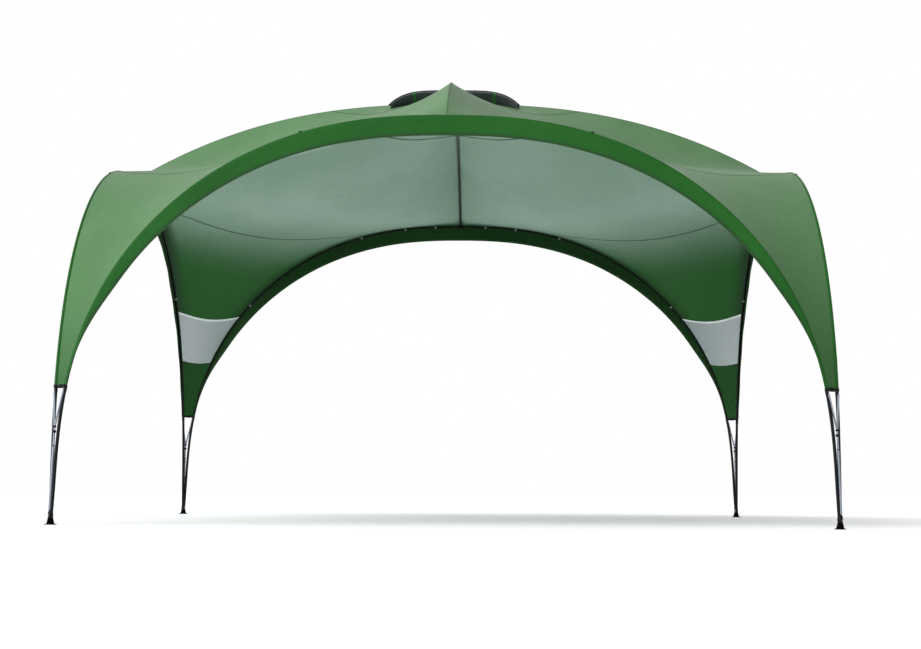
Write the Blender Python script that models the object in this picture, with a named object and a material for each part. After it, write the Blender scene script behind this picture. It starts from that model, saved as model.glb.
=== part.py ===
import math

import bpy
import numpy as np

# Driving dimensions, metres.
SPAN = 3.65
HALF = SPAN / 2.0
POLE_R = 0.00635
LEG_R = 0.008
CLOTH_T = 0.0024
GAP = 0.0003
CLOTH_GAP = 0.0010
SIDES = 8

# Arch, as fractions of SPAN: foot offset, foot height and the tangent angle law.
ARCH_FOOT = 0.4985
ARCH_FOOT_Z = 0.0085
ARCH_ANGLE = 1.4891
ARCH_BEND = (0.2347, 0.9866, 0.5805, 0.9278)
ARCH_STEPS = 800
ARCH_NODES = 49

# Ridge, as fractions of SPAN: height over the centre and the fall towards the crown.
RIDGE_TOP = 0.648
RIDGE_POWER = 2.5

# Heights and plan positions of edges and seams, as fractions of SPAN.
HEM_Z = 0.177
WINDOW_TOP_Z = 0.357
WINDOW_FOOT_Z = 0.273
SEAM_D = 0.153
VENT_HOLE_R = 0.042
CLOTH_OFFSET = POLE_R + CLOTH_GAP + CLOTH_T / 2.0
HEM_MARGIN = 0.0015

# Cloth net of one quarter: cells along the ridge, along the arch and from arch to arch.
RIDGE_CELLS = 20
ARCH_CELLS = 30
CROSS_CELLS = 16
NET_ROUNDS = 4
SOFT_EDGE = 0.0004
RIDGE_SLACK = 0.0022

# Inward draw of the cloth, largest by the crown of the arches: place along the net, where 0 is
# the centre, 1 the crown and 2 the hem, and curvature that it adds, as a fraction of 1 / SPAN.
DRAW_AT = (0.45, 0.95, 1.30, 2.00)
DRAW = (0.0, 5.06, -2.22, 0.0)

# How many net rows a seam drops between its two ends.
SEAM_DIP = 5.48
WINDOW_TOP_DIP = 1.06
WINDOW_FOOT_DIP = 0.34

# Valance: its width beside a leg, how much it gains over the crown of the arch, and between
# which rises of the arch's outward normal it widens.
VALANCE_LEG = 0.006
VALANCE_DROP = 0.086
VALANCE_WIDEN = (0.22, 0.52)
VALANCE_HEM_GAP = 0.001

# Vent cap.
VENT_A = 0.100 * SPAN
VENT_B = 0.070 * SPAN
VENT_IN = 0.046 * SPAN
VENT_RISE = 0.0225 * SPAN
VENT_POWER = 4.5
VENT_ROD_R = 0.003
VENT_MESH_T = 0.002
VENT_REST = 0.0012
VENT_CORNER_LIFT = 0.0056 * SPAN
VENT_TURN = 0.008
VENT_SCREEN_RISE = 0.0020
VENT_SCREEN_SPAN = 0.96

# Foot, bracket and leg brace.
FOOT_C = HALF * 0.9985
FOOT_R = 0.029
FOOT_DISC_T = 0.004
FOOT_CONE_R = 0.021
FOOT_TOP_R = 0.013
FOOT_TOP_Z = 0.031
TUBE_FOOT_Z = 0.041
BRACKET_R = 0.014
BRACKET_TOP = 0.072
BRACKET_TAPER = (0.003, 0.008)
STEM_LAP = 0.010
COLLAR_Z = 0.1233 * SPAN
COLLAR_R = 0.0085
COLLAR_H = 0.024
STEM_R = 0.005
STRUT_R = 0.004
STRUT_DROP = 0.036
BRACE_OUT = 0.009
STRAP_T = 0.003
STRAP_H = 0.018
STRAP_DROP = 0.003

# Crown clip and hub.
CLIP_REACH = 0.038
CLIP_WIDTH = 0.036
CLIP_DEPTH = 0.026
CLIP_DROP = 0.013
CLIP_BORE = POLE_R + 0.0008
CLIP_STUB_R = 0.0052
CLIP_STUB = 0.034
HUB_R = 0.040
HUB_H = 0.022
HUB_POLE_R = 0.055
HUB_ARM_R = 0.009
HUB_EDGE = 0.003

X_AXIS = np.array([1.0, 0.0, 0.0])
Y_AXIS = np.array([0.0, 1.0, 0.0])
UP = np.array([0.0, 0.0, 1.0])
BOX_FACES = [(0, 1, 3, 2), (4, 6, 7, 5), (0, 4, 5, 1), (2, 3, 7, 6), (0, 2, 6, 4), (1, 5, 7, 3)]

QUARTERS = {
    "front_right": (1, -1),
    "front_left": (-1, -1),
    "back_left": (-1, 1),
    "back_right": (1, 1),
}


def clear_scene():
    for item in list(bpy.data.objects):
        bpy.data.objects.remove(item, do_unlink=True)


def make_material(name, colour, roughness, metallic):
    mat = bpy.data.materials.new(name)
    mat.use_nodes = True
    shader = mat.node_tree.nodes["Principled BSDF"]
    shader.inputs["Base Color"].default_value = (*colour, 1.0)
    shader.inputs["Roughness"].default_value = roughness
    shader.inputs["Metallic"].default_value = metallic
    return mat


def add_object(name, solid, mat):
    verts, faces = solid
    mesh = bpy.data.meshes.new(name)
    mesh.from_pydata([tuple(map(float, v)) for v in verts], [], [tuple(map(int, f)) for f in faces])
    mesh.validate()
    mesh.materials.append(mat)
    item = bpy.data.objects.new(name, mesh)
    bpy.context.scene.collection.objects.link(item)
    return item


def mirrored(solid, sx, sy):
    verts, faces = solid
    out = np.asarray(verts, float) * np.array([sx, sy, 1.0])
    if sx * sy < 0:
        faces = [tuple(reversed(f)) for f in faces]
    return out, faces


def swapped(solid):
    """Reflects in the plane through the corner, so an X run becomes a Y run."""
    verts, faces = solid
    out = np.asarray(verts, float)
    out = np.stack([-out[:, 1], -out[:, 0], out[:, 2]], axis=1)
    return out, [tuple(reversed(f)) for f in faces]


def unit(v):
    return v / np.linalg.norm(v, axis=-1, keepdims=True)


def arch_curve():
    """One half arch from foot to crown: distance from the middle, height, both in metres."""
    t = (np.arange(ARCH_STEPS) + 0.5) / ARCH_STEPS
    u = 1.0 - 2.0 * t
    bend = sum(c * u ** k for k, c in enumerate(ARCH_BEND))
    phi = ARCH_ANGLE * (1.0 - t) + t * (1.0 - t) * bend
    run = np.concatenate([[0.0], np.cumsum(np.cos(phi))]) / ARCH_STEPS
    rise = np.concatenate([[0.0], np.cumsum(np.sin(phi))]) / ARCH_STEPS
    length = ARCH_FOOT / run[-1]
    return (ARCH_FOOT - run * length) * SPAN, (ARCH_FOOT_Z + rise * length) * SPAN


def resample(points, count):
    steps = np.linalg.norm(np.diff(points, axis=0), axis=1)
    s = np.concatenate([[0.0], np.cumsum(steps)])
    q = np.linspace(0.0, s[-1], count)
    return np.stack([np.interp(q, s, points[:, k]) for k in range(points.shape[1])], axis=1)


def with_normals(curve):
    tangent = unit(np.gradient(curve, axis=0))
    return curve, np.stack([tangent[:, 1], -tangent[:, 0]], axis=1)


def half_arch(low, count):
    """Evenly spaced points of the half arch above a height, and its outward normals."""
    d, z = arch_curve()
    keep = z > low
    start = [[float(np.interp(low, z, d)), low]]
    return with_normals(resample(np.concatenate([start, np.stack([d, z], axis=1)[keep]]), count))


def full_arch(low, count):
    """The whole arch from hem to hem, right to left, in the plane of one side."""
    d, z = arch_curve()
    keep = z > low
    d = np.concatenate([[float(np.interp(low, z, d))], d[keep]])
    z = np.concatenate([[low], z[keep]])
    curve = np.stack([np.concatenate([d, -d[-2::-1]]), np.concatenate([z, z[-2::-1]])], axis=1)
    return with_normals(resample(curve, count))


def ridge_fall():
    d, z = arch_curve()
    inset = CLOTH_OFFSET * math.sqrt(0.5)
    end = (z[-1] + inset) / SPAN
    return (RIDGE_TOP - end) / (0.5 - inset / SPAN) ** RIDGE_POWER


def ridge_height(r):
    """Height of the cloth over the ridge at plan distance r from the centre."""
    return SPAN * (RIDGE_TOP - ridge_fall() * (r / SPAN) ** RIDGE_POWER)


def side_path():
    """Edge of one cloth quarter: out along the ridge, then down the arch to the hem."""
    inset = CLOTH_OFFSET * math.sqrt(0.5)
    r = np.linspace(0.0, HALF - inset, 200)
    ridge = np.stack([0.0 * r, -r, ridge_height(r)], axis=1)
    curve, normal = half_arch(HEM_Z * SPAN, 600)
    edge = (curve + inset * normal)[::-1]
    arch = np.stack([edge[:, 0], np.full(len(edge), -(HALF - inset)), edge[:, 1]], axis=1)
    arch[0] = ridge[-1]
    return np.concatenate([resample(ridge, RIDGE_CELLS + 1), resample(arch, ARCH_CELLS + 1)[1:]])


def cell_sizes(net):
    """Lengths of the threads both ways, and the width of cloth that each node carries."""
    along = np.linalg.norm(np.diff(net, axis=0), axis=2)
    across = np.linalg.norm(np.diff(net, axis=1), axis=2)
    width = np.zeros(net.shape[:2])
    width[:, :-1] += across / 2.0
    width[:, 1:] += across / 2.0
    height = np.zeros(net.shape[:2])
    height[:-1] += along / 2.0
    height[1:] += along / 2.0
    return along, across, width, height


def net_normals(net):
    n = np.cross(np.gradient(net, axis=1), np.gradient(net, axis=0))
    n[0] = n[1]
    n = unit(n)
    if n[RIDGE_CELLS // 2, CROSS_CELLS // 2, 2] < 0.0:
        n = -n
    n[: RIDGE_CELLS + 1, 0, 0] = 0.0
    n[: RIDGE_CELLS + 1, -1, 1] = 0.0
    return unit(n)


def inward_draw():
    """Draw of each net row, per metre."""
    rows = np.arange(RIDGE_CELLS + ARCH_CELLS + 1)
    place = np.where(rows <= RIDGE_CELLS, rows / RIDGE_CELLS, 1.0 + (rows - RIDGE_CELLS) / ARCH_CELLS)
    return np.interp(place, DRAW_AT, DRAW) / SPAN


def stretched_quarter():
    """Cloth stretched between the edges of one quarter, as a tensioned net at rest."""
    front = side_path()
    side = np.stack([-front[:, 1], -front[:, 0], front[:, 2]], axis=1)
    t = np.linspace(0.0, 1.0, CROSS_CELLS + 1)[None, :, None]
    net = front[:, None] * (1.0 - t) + side[:, None] * t
    rows, cols = net.shape[:2]
    index = np.arange(rows * cols).reshape(rows, cols)
    free = np.zeros((rows, cols), bool)
    free[1:-1, 1:-1] = True
    free = free.ravel()
    held = ~free
    for _ in range(NET_ROUNDS):
        along, across, width, height = cell_sizes(net)
        pull_along = (width[:-1] + width[1:]) / 2.0 / (along + SOFT_EDGE)
        pull_across = (height[:, :-1] + height[:, 1:]) / 2.0 / (across + SOFT_EDGE)
        links = np.zeros((rows * cols, rows * cols))
        for a, b, q in (
            (index[:-1], index[1:], pull_along),
            (index[:, :-1], index[:, 1:], pull_across),
        ):
            links[a.ravel(), b.ravel()] += q.ravel()
            links[b.ravel(), a.ravel()] += q.ravel()
        draw = inward_draw()[:, None, None] * (width * height)[..., None] * net_normals(net)
        flat = net.reshape(-1, 3).copy()
        stiff = np.diag(links.sum(axis=1)[free]) - links[np.ix_(free, free)]
        pull = links[np.ix_(free, held)] @ flat[held] - draw.reshape(-1, 3)[free]
        flat[free] = np.linalg.solve(stiff, pull)
        net = flat.reshape(rows, cols, 3)
    return net


def row_at_height(net, z):
    """Row number, with its fraction, at which the front edge passes a height."""
    edge = net[RIDGE_CELLS:, 0, 2]
    return RIDGE_CELLS + float(np.interp(-z, -edge, np.arange(len(edge))))


def row_at_offset(net, d):
    edge = net[RIDGE_CELLS:, 0, 0]
    return RIDGE_CELLS + float(np.interp(d, edge, np.arange(len(edge))))


def row_on_ridge(net, r):
    edge = -net[: RIDGE_CELLS + 1, 0, 1]
    return float(np.interp(r, edge, np.arange(len(edge))))


def sample(field, rows, cols):
    """Bilinear reading of a net field at fractional rows and columns."""
    i = np.clip(np.floor(rows).astype(int), 0, field.shape[0] - 2)
    j = np.clip(np.floor(cols).astype(int), 0, field.shape[1] - 2)
    a = (rows - i)[..., None]
    b = (cols - j)[..., None]
    top = field[i, j] * (1 - b) + field[i, j + 1] * b
    low = field[i + 1, j] * (1 - b) + field[i + 1, j + 1] * b
    return top * (1 - a) + low * a


def inset_edges(points, first_gap, last_gap):
    """Draws the four edges in by a fraction of a millimetre, to part it from its neighbours."""
    out = points.copy()
    out[0] += first_gap * unit(points[1] - points[0])
    out[-1] += last_gap * unit(points[-2] - points[-1])
    out[:, 0] += GAP * unit(points[:, 1] - points[:, 0])
    out[:, -1] += GAP * unit(points[:, -2] - points[:, -1])
    return out


def sheet_solid(points, normals, thickness):
    """Closed cloth solid around a grid of points."""
    rows, cols = points.shape[:2]
    half = thickness / 2.0
    top = (points + normals * half).reshape(-1, 3)
    low = (points - normals * half).reshape(-1, 3)
    count = rows * cols
    verts = np.concatenate([top, low])
    faces = []
    for i in range(rows - 1):
        for j in range(cols - 1):
            a = i * cols + j
            b = a + 1
            c = a + cols + 1
            d = a + cols
            faces.append((a, d, c, b))
            faces.append((a + count, b + count, c + count, d + count))
    ring = [j for j in range(cols)]
    ring += [i * cols + cols - 1 for i in range(1, rows)]
    ring += [(rows - 1) * cols + j for j in range(cols - 2, -1, -1)]
    ring += [i * cols for i in range(rows - 2, 0, -1)]
    for k, a in enumerate(ring):
        b = ring[(k + 1) % len(ring)]
        faces.append((a, b, b + count, a + count))
    return oriented((verts, faces))


def signed_volume(solid):
    verts, faces = solid
    total = 0.0
    for face in faces:
        p = verts[face[0]]
        for k in range(1, len(face) - 1):
            total += float(np.dot(p, np.cross(verts[face[k]], verts[face[k + 1]])))
    return total / 6.0


def oriented(solid):
    verts, faces = solid
    verts = np.asarray(verts, float)
    if signed_volume((verts, faces)) < 0.0:
        faces = [tuple(reversed(f)) for f in faces]
    return verts, faces


def sweep(path, frames, profile):
    """Closed solid from a profile carried along a path; profile may change from point to point."""
    rows = len(path)
    cols = profile.shape[-2]
    verts = []
    for k in range(rows):
        shape = profile[k] if profile.ndim == 3 else profile
        u, v = frames[k]
        verts += [path[k] + a * u + b * v for a, b in shape]
    faces = []
    for i in range(rows - 1):
        for j in range(cols):
            a = i * cols + j
            b = i * cols + (j + 1) % cols
            faces.append((a, b, b + cols, a + cols))
    faces.append(tuple(range(cols - 1, -1, -1)))
    faces.append(tuple(range((rows - 1) * cols, rows * cols)))
    return oriented((np.array(verts), faces))


def circle(radius, sides):
    a = (np.arange(sides) + 0.5) * 2.0 * math.pi / sides
    return radius * np.stack([np.cos(a), np.sin(a)], axis=1)


def tube(path, radius, sides, flat):
    """Round bar along a path that lies in the plane square to the direction called flat."""
    path = np.asarray(path, float)
    flat = unit(np.asarray(flat, float))
    tangent = unit(np.gradient(path, axis=0))
    frames = [(flat, unit(np.cross(t, flat))) for t in tangent]
    return sweep(path, frames, circle(radius, sides))


def rod(a, b, radius, sides):
    a = np.asarray(a, float)
    b = np.asarray(b, float)
    axis = unit(b - a)
    other = UP if abs(axis[2]) < 0.9 else X_AXIS
    return tube([a, b], radius, sides, np.cross(axis, other))


def lathe(profile, centre, sides):
    verts = []
    for r, z in profile:
        for k in range(sides):
            a = 2.0 * math.pi * k / sides
            verts.append((centre[0] + r * math.cos(a), centre[1] + r * math.sin(a), z))
    faces = []
    for i in range(len(profile) - 1):
        for j in range(sides):
            a = i * sides + j
            b = i * sides + (j + 1) % sides
            faces.append((a, b, b + sides, a + sides))
    faces.append(tuple(range(sides - 1, -1, -1)))
    faces.append(tuple(range((len(profile) - 1) * sides, len(profile) * sides)))
    return oriented((np.array(verts), faces))


def block(centre, axes, sizes):
    centre = np.asarray(centre, float)
    axes = np.asarray(axes, float)
    verts = []
    for a in (-0.5, 0.5):
        for b in (-0.5, 0.5):
            for c in (-0.5, 0.5):
                verts.append(centre + a * sizes[0] * axes[0] + b * sizes[1] * axes[1] + c * sizes[2] * axes[2])
    return oriented((np.array(verts), BOX_FACES))


def combine(first, others, operation):
    """Boolean of one solid with others, in turn."""
    mat = bpy.data.materials.new("working")
    base = add_object("working_base", first, mat)
    for other in others:
        tool = add_object("working_tool", other, mat)
        mod = base.modifiers.new("join", "BOOLEAN")
        mod.operation = operation
        mod.solver = "EXACT"
        mod.object = tool
        graph = bpy.context.evaluated_depsgraph_get()
        done = bpy.data.meshes.new_from_object(base.evaluated_get(graph))
        base.modifiers.clear()
        base.data = done
        bpy.data.objects.remove(tool, do_unlink=True)
    verts = np.array([tuple(v.co) for v in base.data.vertices])
    faces = [tuple(p.vertices) for p in base.data.polygons]
    bpy.data.objects.remove(base, do_unlink=True)
    bpy.data.materials.remove(mat)
    return verts, faces


def foot_solid():
    profile = [
        (FOOT_R - 0.002, 0.0),
        (FOOT_R, 0.0015),
        (FOOT_R - 0.001, FOOT_DISC_T),
        (FOOT_CONE_R, FOOT_DISC_T + 0.001),
        (FOOT_TOP_R + 0.004, 0.016),
        (FOOT_TOP_R, FOOT_TOP_Z),
    ]
    return lathe(profile, (FOOT_C, -FOOT_C), 20)


def leg_point(z):
    """Tube centre of the front arch leg at a height, right front corner."""
    d, h = arch_curve()
    return np.array([float(np.interp(z, h, d)), -HALF, z])


def side_point(z):
    p = leg_point(z)
    return np.array([-p[1], -p[0], p[2]])


def leg_solid():
    """Two diverging tubes on a bracket, with the stem, collar and forked brace just outside them."""
    heights = np.linspace(TUBE_FOOT_Z, HEM_Z * SPAN - GAP, 9)
    front = tube([leg_point(z) for z in heights], LEG_R, SIDES, Y_AXIS)
    side = tube([side_point(z) for z in heights], LEG_R, SIDES, X_AXIS)
    bracket = lathe(
        [
            (BRACKET_R, FOOT_TOP_Z + GAP),
            (BRACKET_R, BRACKET_TOP - BRACKET_TAPER[1]),
            (BRACKET_R - BRACKET_TAPER[0], BRACKET_TOP),
        ],
        (FOOT_C, -FOOT_C),
        12,
    )
    outward = (X_AXIS - Y_AXIS) * math.sqrt(0.5)
    hub = (leg_point(COLLAR_Z) + side_point(COLLAR_Z)) / 2.0 + BRACE_OUT * outward
    low = (leg_point(BRACKET_TOP) + side_point(BRACKET_TOP)) / 2.0
    stem = rod(low - STEM_LAP * UP, hub, STEM_R, SIDES)
    collar = rod(hub - UP * COLLAR_H / 2.0, hub + UP * COLLAR_H / 2.0, COLLAR_R, 10)
    reach = HEM_Z * SPAN - STRUT_DROP
    struts = [rod(hub, leg_point(reach), STRUT_R, SIDES), rod(hub, side_point(reach), STRUT_R, SIDES)]
    return combine(front, [side, bracket, stem, collar] + struts, "UNION")


def hem_strap_solid():
    """Webbing strap across the fork of a leg, cut to the taper of its two tubes."""
    top = HEM_Z * SPAN - STRAP_DROP
    face = LEG_R * math.cos(math.pi / SIDES) + GAP
    verts = []
    for z in (top - STRAP_H, top):
        a = leg_point(z)
        b = side_point(z)
        axis = unit(b - a)
        out = np.cross(UP, axis)
        for end, sign in ((a, 1.0), (b, -1.0)):
            for t in (-0.5, 0.5):
                verts.append(end + sign * face * axis + t * STRAP_T * out)
    return oriented((np.array(verts), BOX_FACES))


def arch_pole_solid():
    curve = full_arch(HEM_Z * SPAN, ARCH_NODES)[0]
    path = np.stack([curve[:, 0], np.full(len(curve), -HALF), curve[:, 1]], axis=1)
    return tube(path, POLE_R, SIDES, Y_AXIS)


def ridge_axis(r):
    """Axis of the ridge pole, square below the cloth that lies on it."""
    r = np.asarray(r, float)
    slope = np.gradient(ridge_height(np.stack([r - 0.001, r, r + 0.001])), 0.001, axis=0)[1]
    n = unit(np.stack([-slope, np.ones_like(r)], axis=-1))
    out = np.stack([r, ridge_height(r)], axis=-1) - n * (CLOTH_OFFSET + RIDGE_SLACK)
    return np.stack([np.zeros_like(r), -out[..., 0], out[..., 1]], axis=-1)


def ridge_pole_solid():
    r = np.linspace(HUB_POLE_R, HALF - CLIP_REACH, 21)
    return tube(ridge_axis(r), POLE_R, SIDES, X_AXIS)


def crown_clip_solid():
    """Clip under the crown of an arch: a saddle on the arch pole and a stub for the ridge pole."""
    crown = np.array([0.0, -HALF, arch_curve()[1][-1]])
    end = ridge_axis(np.array([HALF - CLIP_REACH]))[0]
    inner = ridge_axis(np.array([HALF - CLIP_REACH - 0.004]))[0]
    axis = unit(end - inner)
    tip = end + axis * GAP
    stub = rod(tip, tip + axis * CLIP_STUB, CLIP_STUB_R, SIDES)
    saddle = block(
        crown + Y_AXIS * (CLIP_DEPTH / 2.0 + 0.001) - UP * CLIP_DROP / 2.0,
        (X_AXIS, Y_AXIS, UP),
        (CLIP_WIDTH, CLIP_DEPTH, CLIP_DROP),
    )
    bore = rod(crown - X_AXIS * CLIP_WIDTH, crown + X_AXIS * CLIP_WIDTH, CLIP_BORE, 16)
    return combine(combine(saddle, [stub], "UNION"), [bore], "DIFFERENCE")


def hub_solid():
    z = float(ridge_axis(np.array([HUB_POLE_R]))[0, 2])
    body = lathe(
        [
            (HUB_R - HUB_EDGE, z - HUB_H / 2.0),
            (HUB_R, z - HUB_H / 2.0 + HUB_EDGE),
            (HUB_R, z + HUB_H / 2.0 - HUB_EDGE),
            (HUB_R - HUB_EDGE, z + HUB_H / 2.0),
        ],
        (0.0, 0.0),
        24,
    )
    reach = HUB_POLE_R - GAP
    arms = [
        rod((-reach, 0.0, z), (reach, 0.0, z), HUB_ARM_R, 12),
        rod((0.0, -reach, z), (0.0, reach, z), HUB_ARM_R, 12),
    ]
    return combine(body, arms, "UNION")


def valance_width(rise):
    """Width below the pole axis, where the outward normal of the arch rises this much."""
    low, high = VALANCE_WIDEN
    t = min(1.0, max(0.0, (rise - low) / (high - low)))
    return VALANCE_LEG + VALANCE_DROP * rise * t * t * (3.0 - 2.0 * t)


def valance_solid():
    """Strip that wraps the arch pole and hangs in front of it down to a free lower edge."""
    curve, normal = full_arch(HEM_Z * SPAN, ARCH_NODES)
    path = np.stack([curve[:, 0], np.full(len(curve), -HALF), curve[:, 1]], axis=1)
    path[0] += VALANCE_HEM_GAP * unit(path[1] - path[0])
    path[-1] += VALANCE_HEM_GAP * unit(path[-2] - path[-1])
    n3 = np.stack([normal[:, 0], np.zeros(len(normal)), normal[:, 1]], axis=1)
    inner = POLE_R + CLOTH_GAP
    outer = inner + CLOTH_T
    start = CLOTH_OFFSET * math.sqrt(0.5) - CLOTH_T * 0.36
    shapes = []
    for rise in np.abs(normal[:, 1]):
        drop = valance_width(float(rise))
        shapes.append([
            (inner, -start),
            (outer, -start),
            (outer, outer),
            (-drop, outer),
            (-drop, inner),
            (inner, inner),
        ])
    frames = [(n, -Y_AXIS) for n in n3]
    return sweep(path, frames, np.array(shapes))


def panel(net, normals, first, last, steps, first_gap, last_gap):
    """Cloth panel between two curved rows of the net, with its cells above and below the crown.

    Each row is a pair: the row number at its ends, and how many rows it dips in the middle.
    """
    t = np.linspace(0.0, 1.0, CROSS_CELLS // 2 + 1)
    cols = t * CROSS_CELLS
    bow = 4.0 * t * (1.0 - t)
    a = first[0] + first[1] * bow
    b = last[0] + last[1] * bow
    if steps[0]:
        upper = np.linspace(0.0, 1.0, steps[0] + 1)[:, None]
        lower = np.linspace(0.0, 1.0, steps[1] + 1)[1:, None]
        rows = np.concatenate([
            a + (RIDGE_CELLS - a) * upper,
            RIDGE_CELLS + (b - RIDGE_CELLS) * lower,
        ])
    else:
        mix = np.linspace(0.0, 1.0, steps[1] + 1)[:, None]
        rows = a + (b - a) * mix
    grid_cols = np.broadcast_to(cols, rows.shape)
    points = sample(net, rows, grid_cols)
    field = unit(sample(normals, rows, grid_cols))
    return sheet_solid(inset_edges(points, first_gap, last_gap), field, CLOTH_T)


def roof_height(net, x, y):
    """Height of the stretched cloth over a plan position near the centre."""
    px = abs(x)
    py = -abs(y)
    crown = net[: RIDGE_CELLS + 1]
    best = None
    p = np.array([px, py])
    for i in range(crown.shape[0] - 1):
        for j in range(crown.shape[1] - 1):
            quad = [crown[i, j], crown[i + 1, j], crown[i + 1, j + 1], crown[i, j + 1]]
            for tri in ((quad[0], quad[1], quad[2]), (quad[0], quad[2], quad[3])):
                a, b, c = tri
                m = np.array([b[:2] - a[:2], c[:2] - a[:2]]).T
                det = m[0, 0] * m[1, 1] - m[0, 1] * m[1, 0]
                if abs(det) < 1e-12:
                    continue
                w = np.linalg.solve(m, p - a[:2])
                out = max(-w[0], -w[1], w[0] + w[1] - 1.0)
                if best is None or out < best[0]:
                    best = (out, a[2] + w[0] * (b[2] - a[2]) + w[1] * (c[2] - a[2]))
                if out <= 1e-9:
                    return best[1]
    return best[1]


def cap_lift(x):
    return VENT_RISE * (1.0 - np.abs(x / VENT_A) ** VENT_POWER)


def vent_parts(net):
    """Raised cap over the roof opening, and a rim rod with its slanted screen at each end."""
    xs = VENT_A * np.sin(np.linspace(-1.0, 1.0, 17) * math.pi / 2.0)
    ys = np.linspace(-VENT_B, VENT_B, 9)
    rest = CLOTH_T + 2.0 * GAP + VENT_REST
    side = np.array([roof_height(net, VENT_A, y) for y in ys]) + rest
    side += VENT_CORNER_LIFT * (ys / VENT_B) ** 2
    z = side[None, :] + cap_lift(xs)[:, None]
    points = np.stack(np.broadcast_arrays(xs[:, None], ys[None, :], z), axis=-1)
    n = np.cross(np.gradient(points, axis=0), np.gradient(points, axis=1))
    n[:, [0, -1], 1] = 0.0
    n = unit(n)
    cap = sheet_solid(points, n, CLOTH_T)
    rim_y = VENT_B + VENT_ROD_R * math.cos(math.pi / SIDES) + GAP
    rim_z = z[:, 0]
    rim = tube(np.stack([xs, np.full(len(xs), -rim_y), rim_z], axis=1), VENT_ROD_R, SIDES, Y_AXIS)
    keep = np.abs(xs) < VENT_A * VENT_SCREEN_SPAN
    x = xs[keep]
    low_y = VENT_B - (VENT_B - VENT_IN) * (1.0 - np.abs(x / VENT_A) ** 8)
    low_z = np.array([roof_height(net, a, b) for a, b in zip(x, low_y)])
    low_z += CLOTH_T / 2.0 + VENT_SCREEN_RISE
    turn_z = rim_z[keep] - np.minimum(VENT_TURN, 0.45 * (rim_z[keep] - low_z))
    grid = np.stack([
        np.stack([x, -low_y, low_z], axis=1),
        np.stack([x, np.full(len(x), -rim_y), turn_z], axis=1),
        np.stack([x, np.full(len(x), -rim_y), rim_z[keep]], axis=1),
    ], axis=1)
    across = unit(np.cross(np.gradient(grid, axis=0), np.gradient(grid, axis=1)))
    face = combine(rim, [sheet_solid(grid, across, VENT_MESH_T)], "UNION")
    return cap, [face, mirrored(face, 1, -1)]


def build():
    clear_scene()
    canopy = make_material("canopy_cloth", (0.17, 0.31, 0.16), 0.55, 0.0)
    lower = make_material("corner_cloth", (0.14, 0.28, 0.13), 0.55, 0.0)
    tip = make_material("tip_cloth", (0.03, 0.12, 0.03), 0.6, 0.0)
    trim = make_material("valance_cloth", (0.025, 0.12, 0.025), 0.6, 0.0)
    window = make_material("window_mesh", (0.37, 0.41, 0.43), 0.7, 0.0)
    dark_mesh = make_material("vent_mesh", (0.012, 0.012, 0.014), 0.8, 0.0)
    pole = make_material("pole_steel", (0.05, 0.056, 0.062), 0.35, 0.9)
    leg = make_material("leg_steel", (0.16, 0.17, 0.19), 0.35, 0.9)
    plastic = make_material("fitting_plastic", (0.02, 0.02, 0.022), 0.5, 0.0)
    rubber = make_material("foot_plastic", (0.008, 0.008, 0.009), 0.6, 0.0)
    webbing = make_material("strap_webbing", (0.02, 0.022, 0.024), 0.8, 0.0)

    net = stretched_quarter()
    normals = net_normals(net)
    foot = foot_solid()
    legs = leg_solid()
    strap = hem_strap_solid()
    vent_edge = (row_on_ridge(net, VENT_HOLE_R * SPAN), 0.0)
    seam = (row_at_offset(net, SEAM_D * SPAN), SEAM_DIP)
    window_top = (row_at_height(net, WINDOW_TOP_Z * SPAN), WINDOW_TOP_DIP)
    window_foot = (row_at_height(net, WINDOW_FOOT_Z * SPAN), WINDOW_FOOT_DIP)
    hem = (len(net) - 1, 0.0)
    roof = panel(net, normals, vent_edge, seam, (14, 8), 0.0, GAP)
    front = panel(net, normals, seam, hem, (0, 18), GAP, HEM_MARGIN)
    upper = panel(net, normals, seam, window_top, (0, 9), GAP, GAP)
    screen = panel(net, normals, window_top, window_foot, (0, 4), GAP, GAP)
    toe = panel(net, normals, window_foot, hem, (0, 5), GAP, HEM_MARGIN)
    for name, (sx, sy) in QUARTERS.items():
        add_object("foot_" + name, mirrored(foot, sx, -sy), rubber)
        add_object("leg_frame_" + name, mirrored(legs, sx, -sy), leg)
        add_object("hem_strap_" + name, mirrored(strap, sx, -sy), webbing)
        add_object("roof_panel_" + name, mirrored(roof, sx, -sy), canopy)
        if sy < 0:
            add_object("corner_panel_" + name, mirrored(front, sx, -sy), lower)
        else:
            add_object("corner_panel_" + name, mirrored(upper, sx, -sy), lower)
            add_object("mesh_window_" + name, mirrored(screen, sx, -sy), window)
            add_object("tip_panel_" + name, mirrored(toe, sx, -sy), tip)

    arch = arch_pole_solid()
    ridge = ridge_pole_solid()
    clip = crown_clip_solid()
    strip = valance_solid()
    for kind, solid, mat in (
        ("arch_pole_", arch, pole),
        ("ridge_pole_", ridge, pole),
        ("crown_clip_", clip, plastic),
        ("valance_", strip, trim),
    ):
        add_object(kind + "front", solid, mat)
        add_object(kind + "back", mirrored(solid, 1, -1), mat)
        add_object(kind + "right", swapped(solid), mat)
        add_object(kind + "left", mirrored(swapped(solid), -1, 1), mat)
    add_object("centre_hub", hub_solid(), plastic)

    cap, faces = vent_parts(net)
    add_object("vent_cap", cap, canopy)
    for word, face in zip(("front", "back"), faces):
        add_object("vent_face_" + word, face, dark_mesh)


build()
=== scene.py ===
import math

import bmesh
import bpy
import numpy as np
from mathutils import Matrix, Vector


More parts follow.
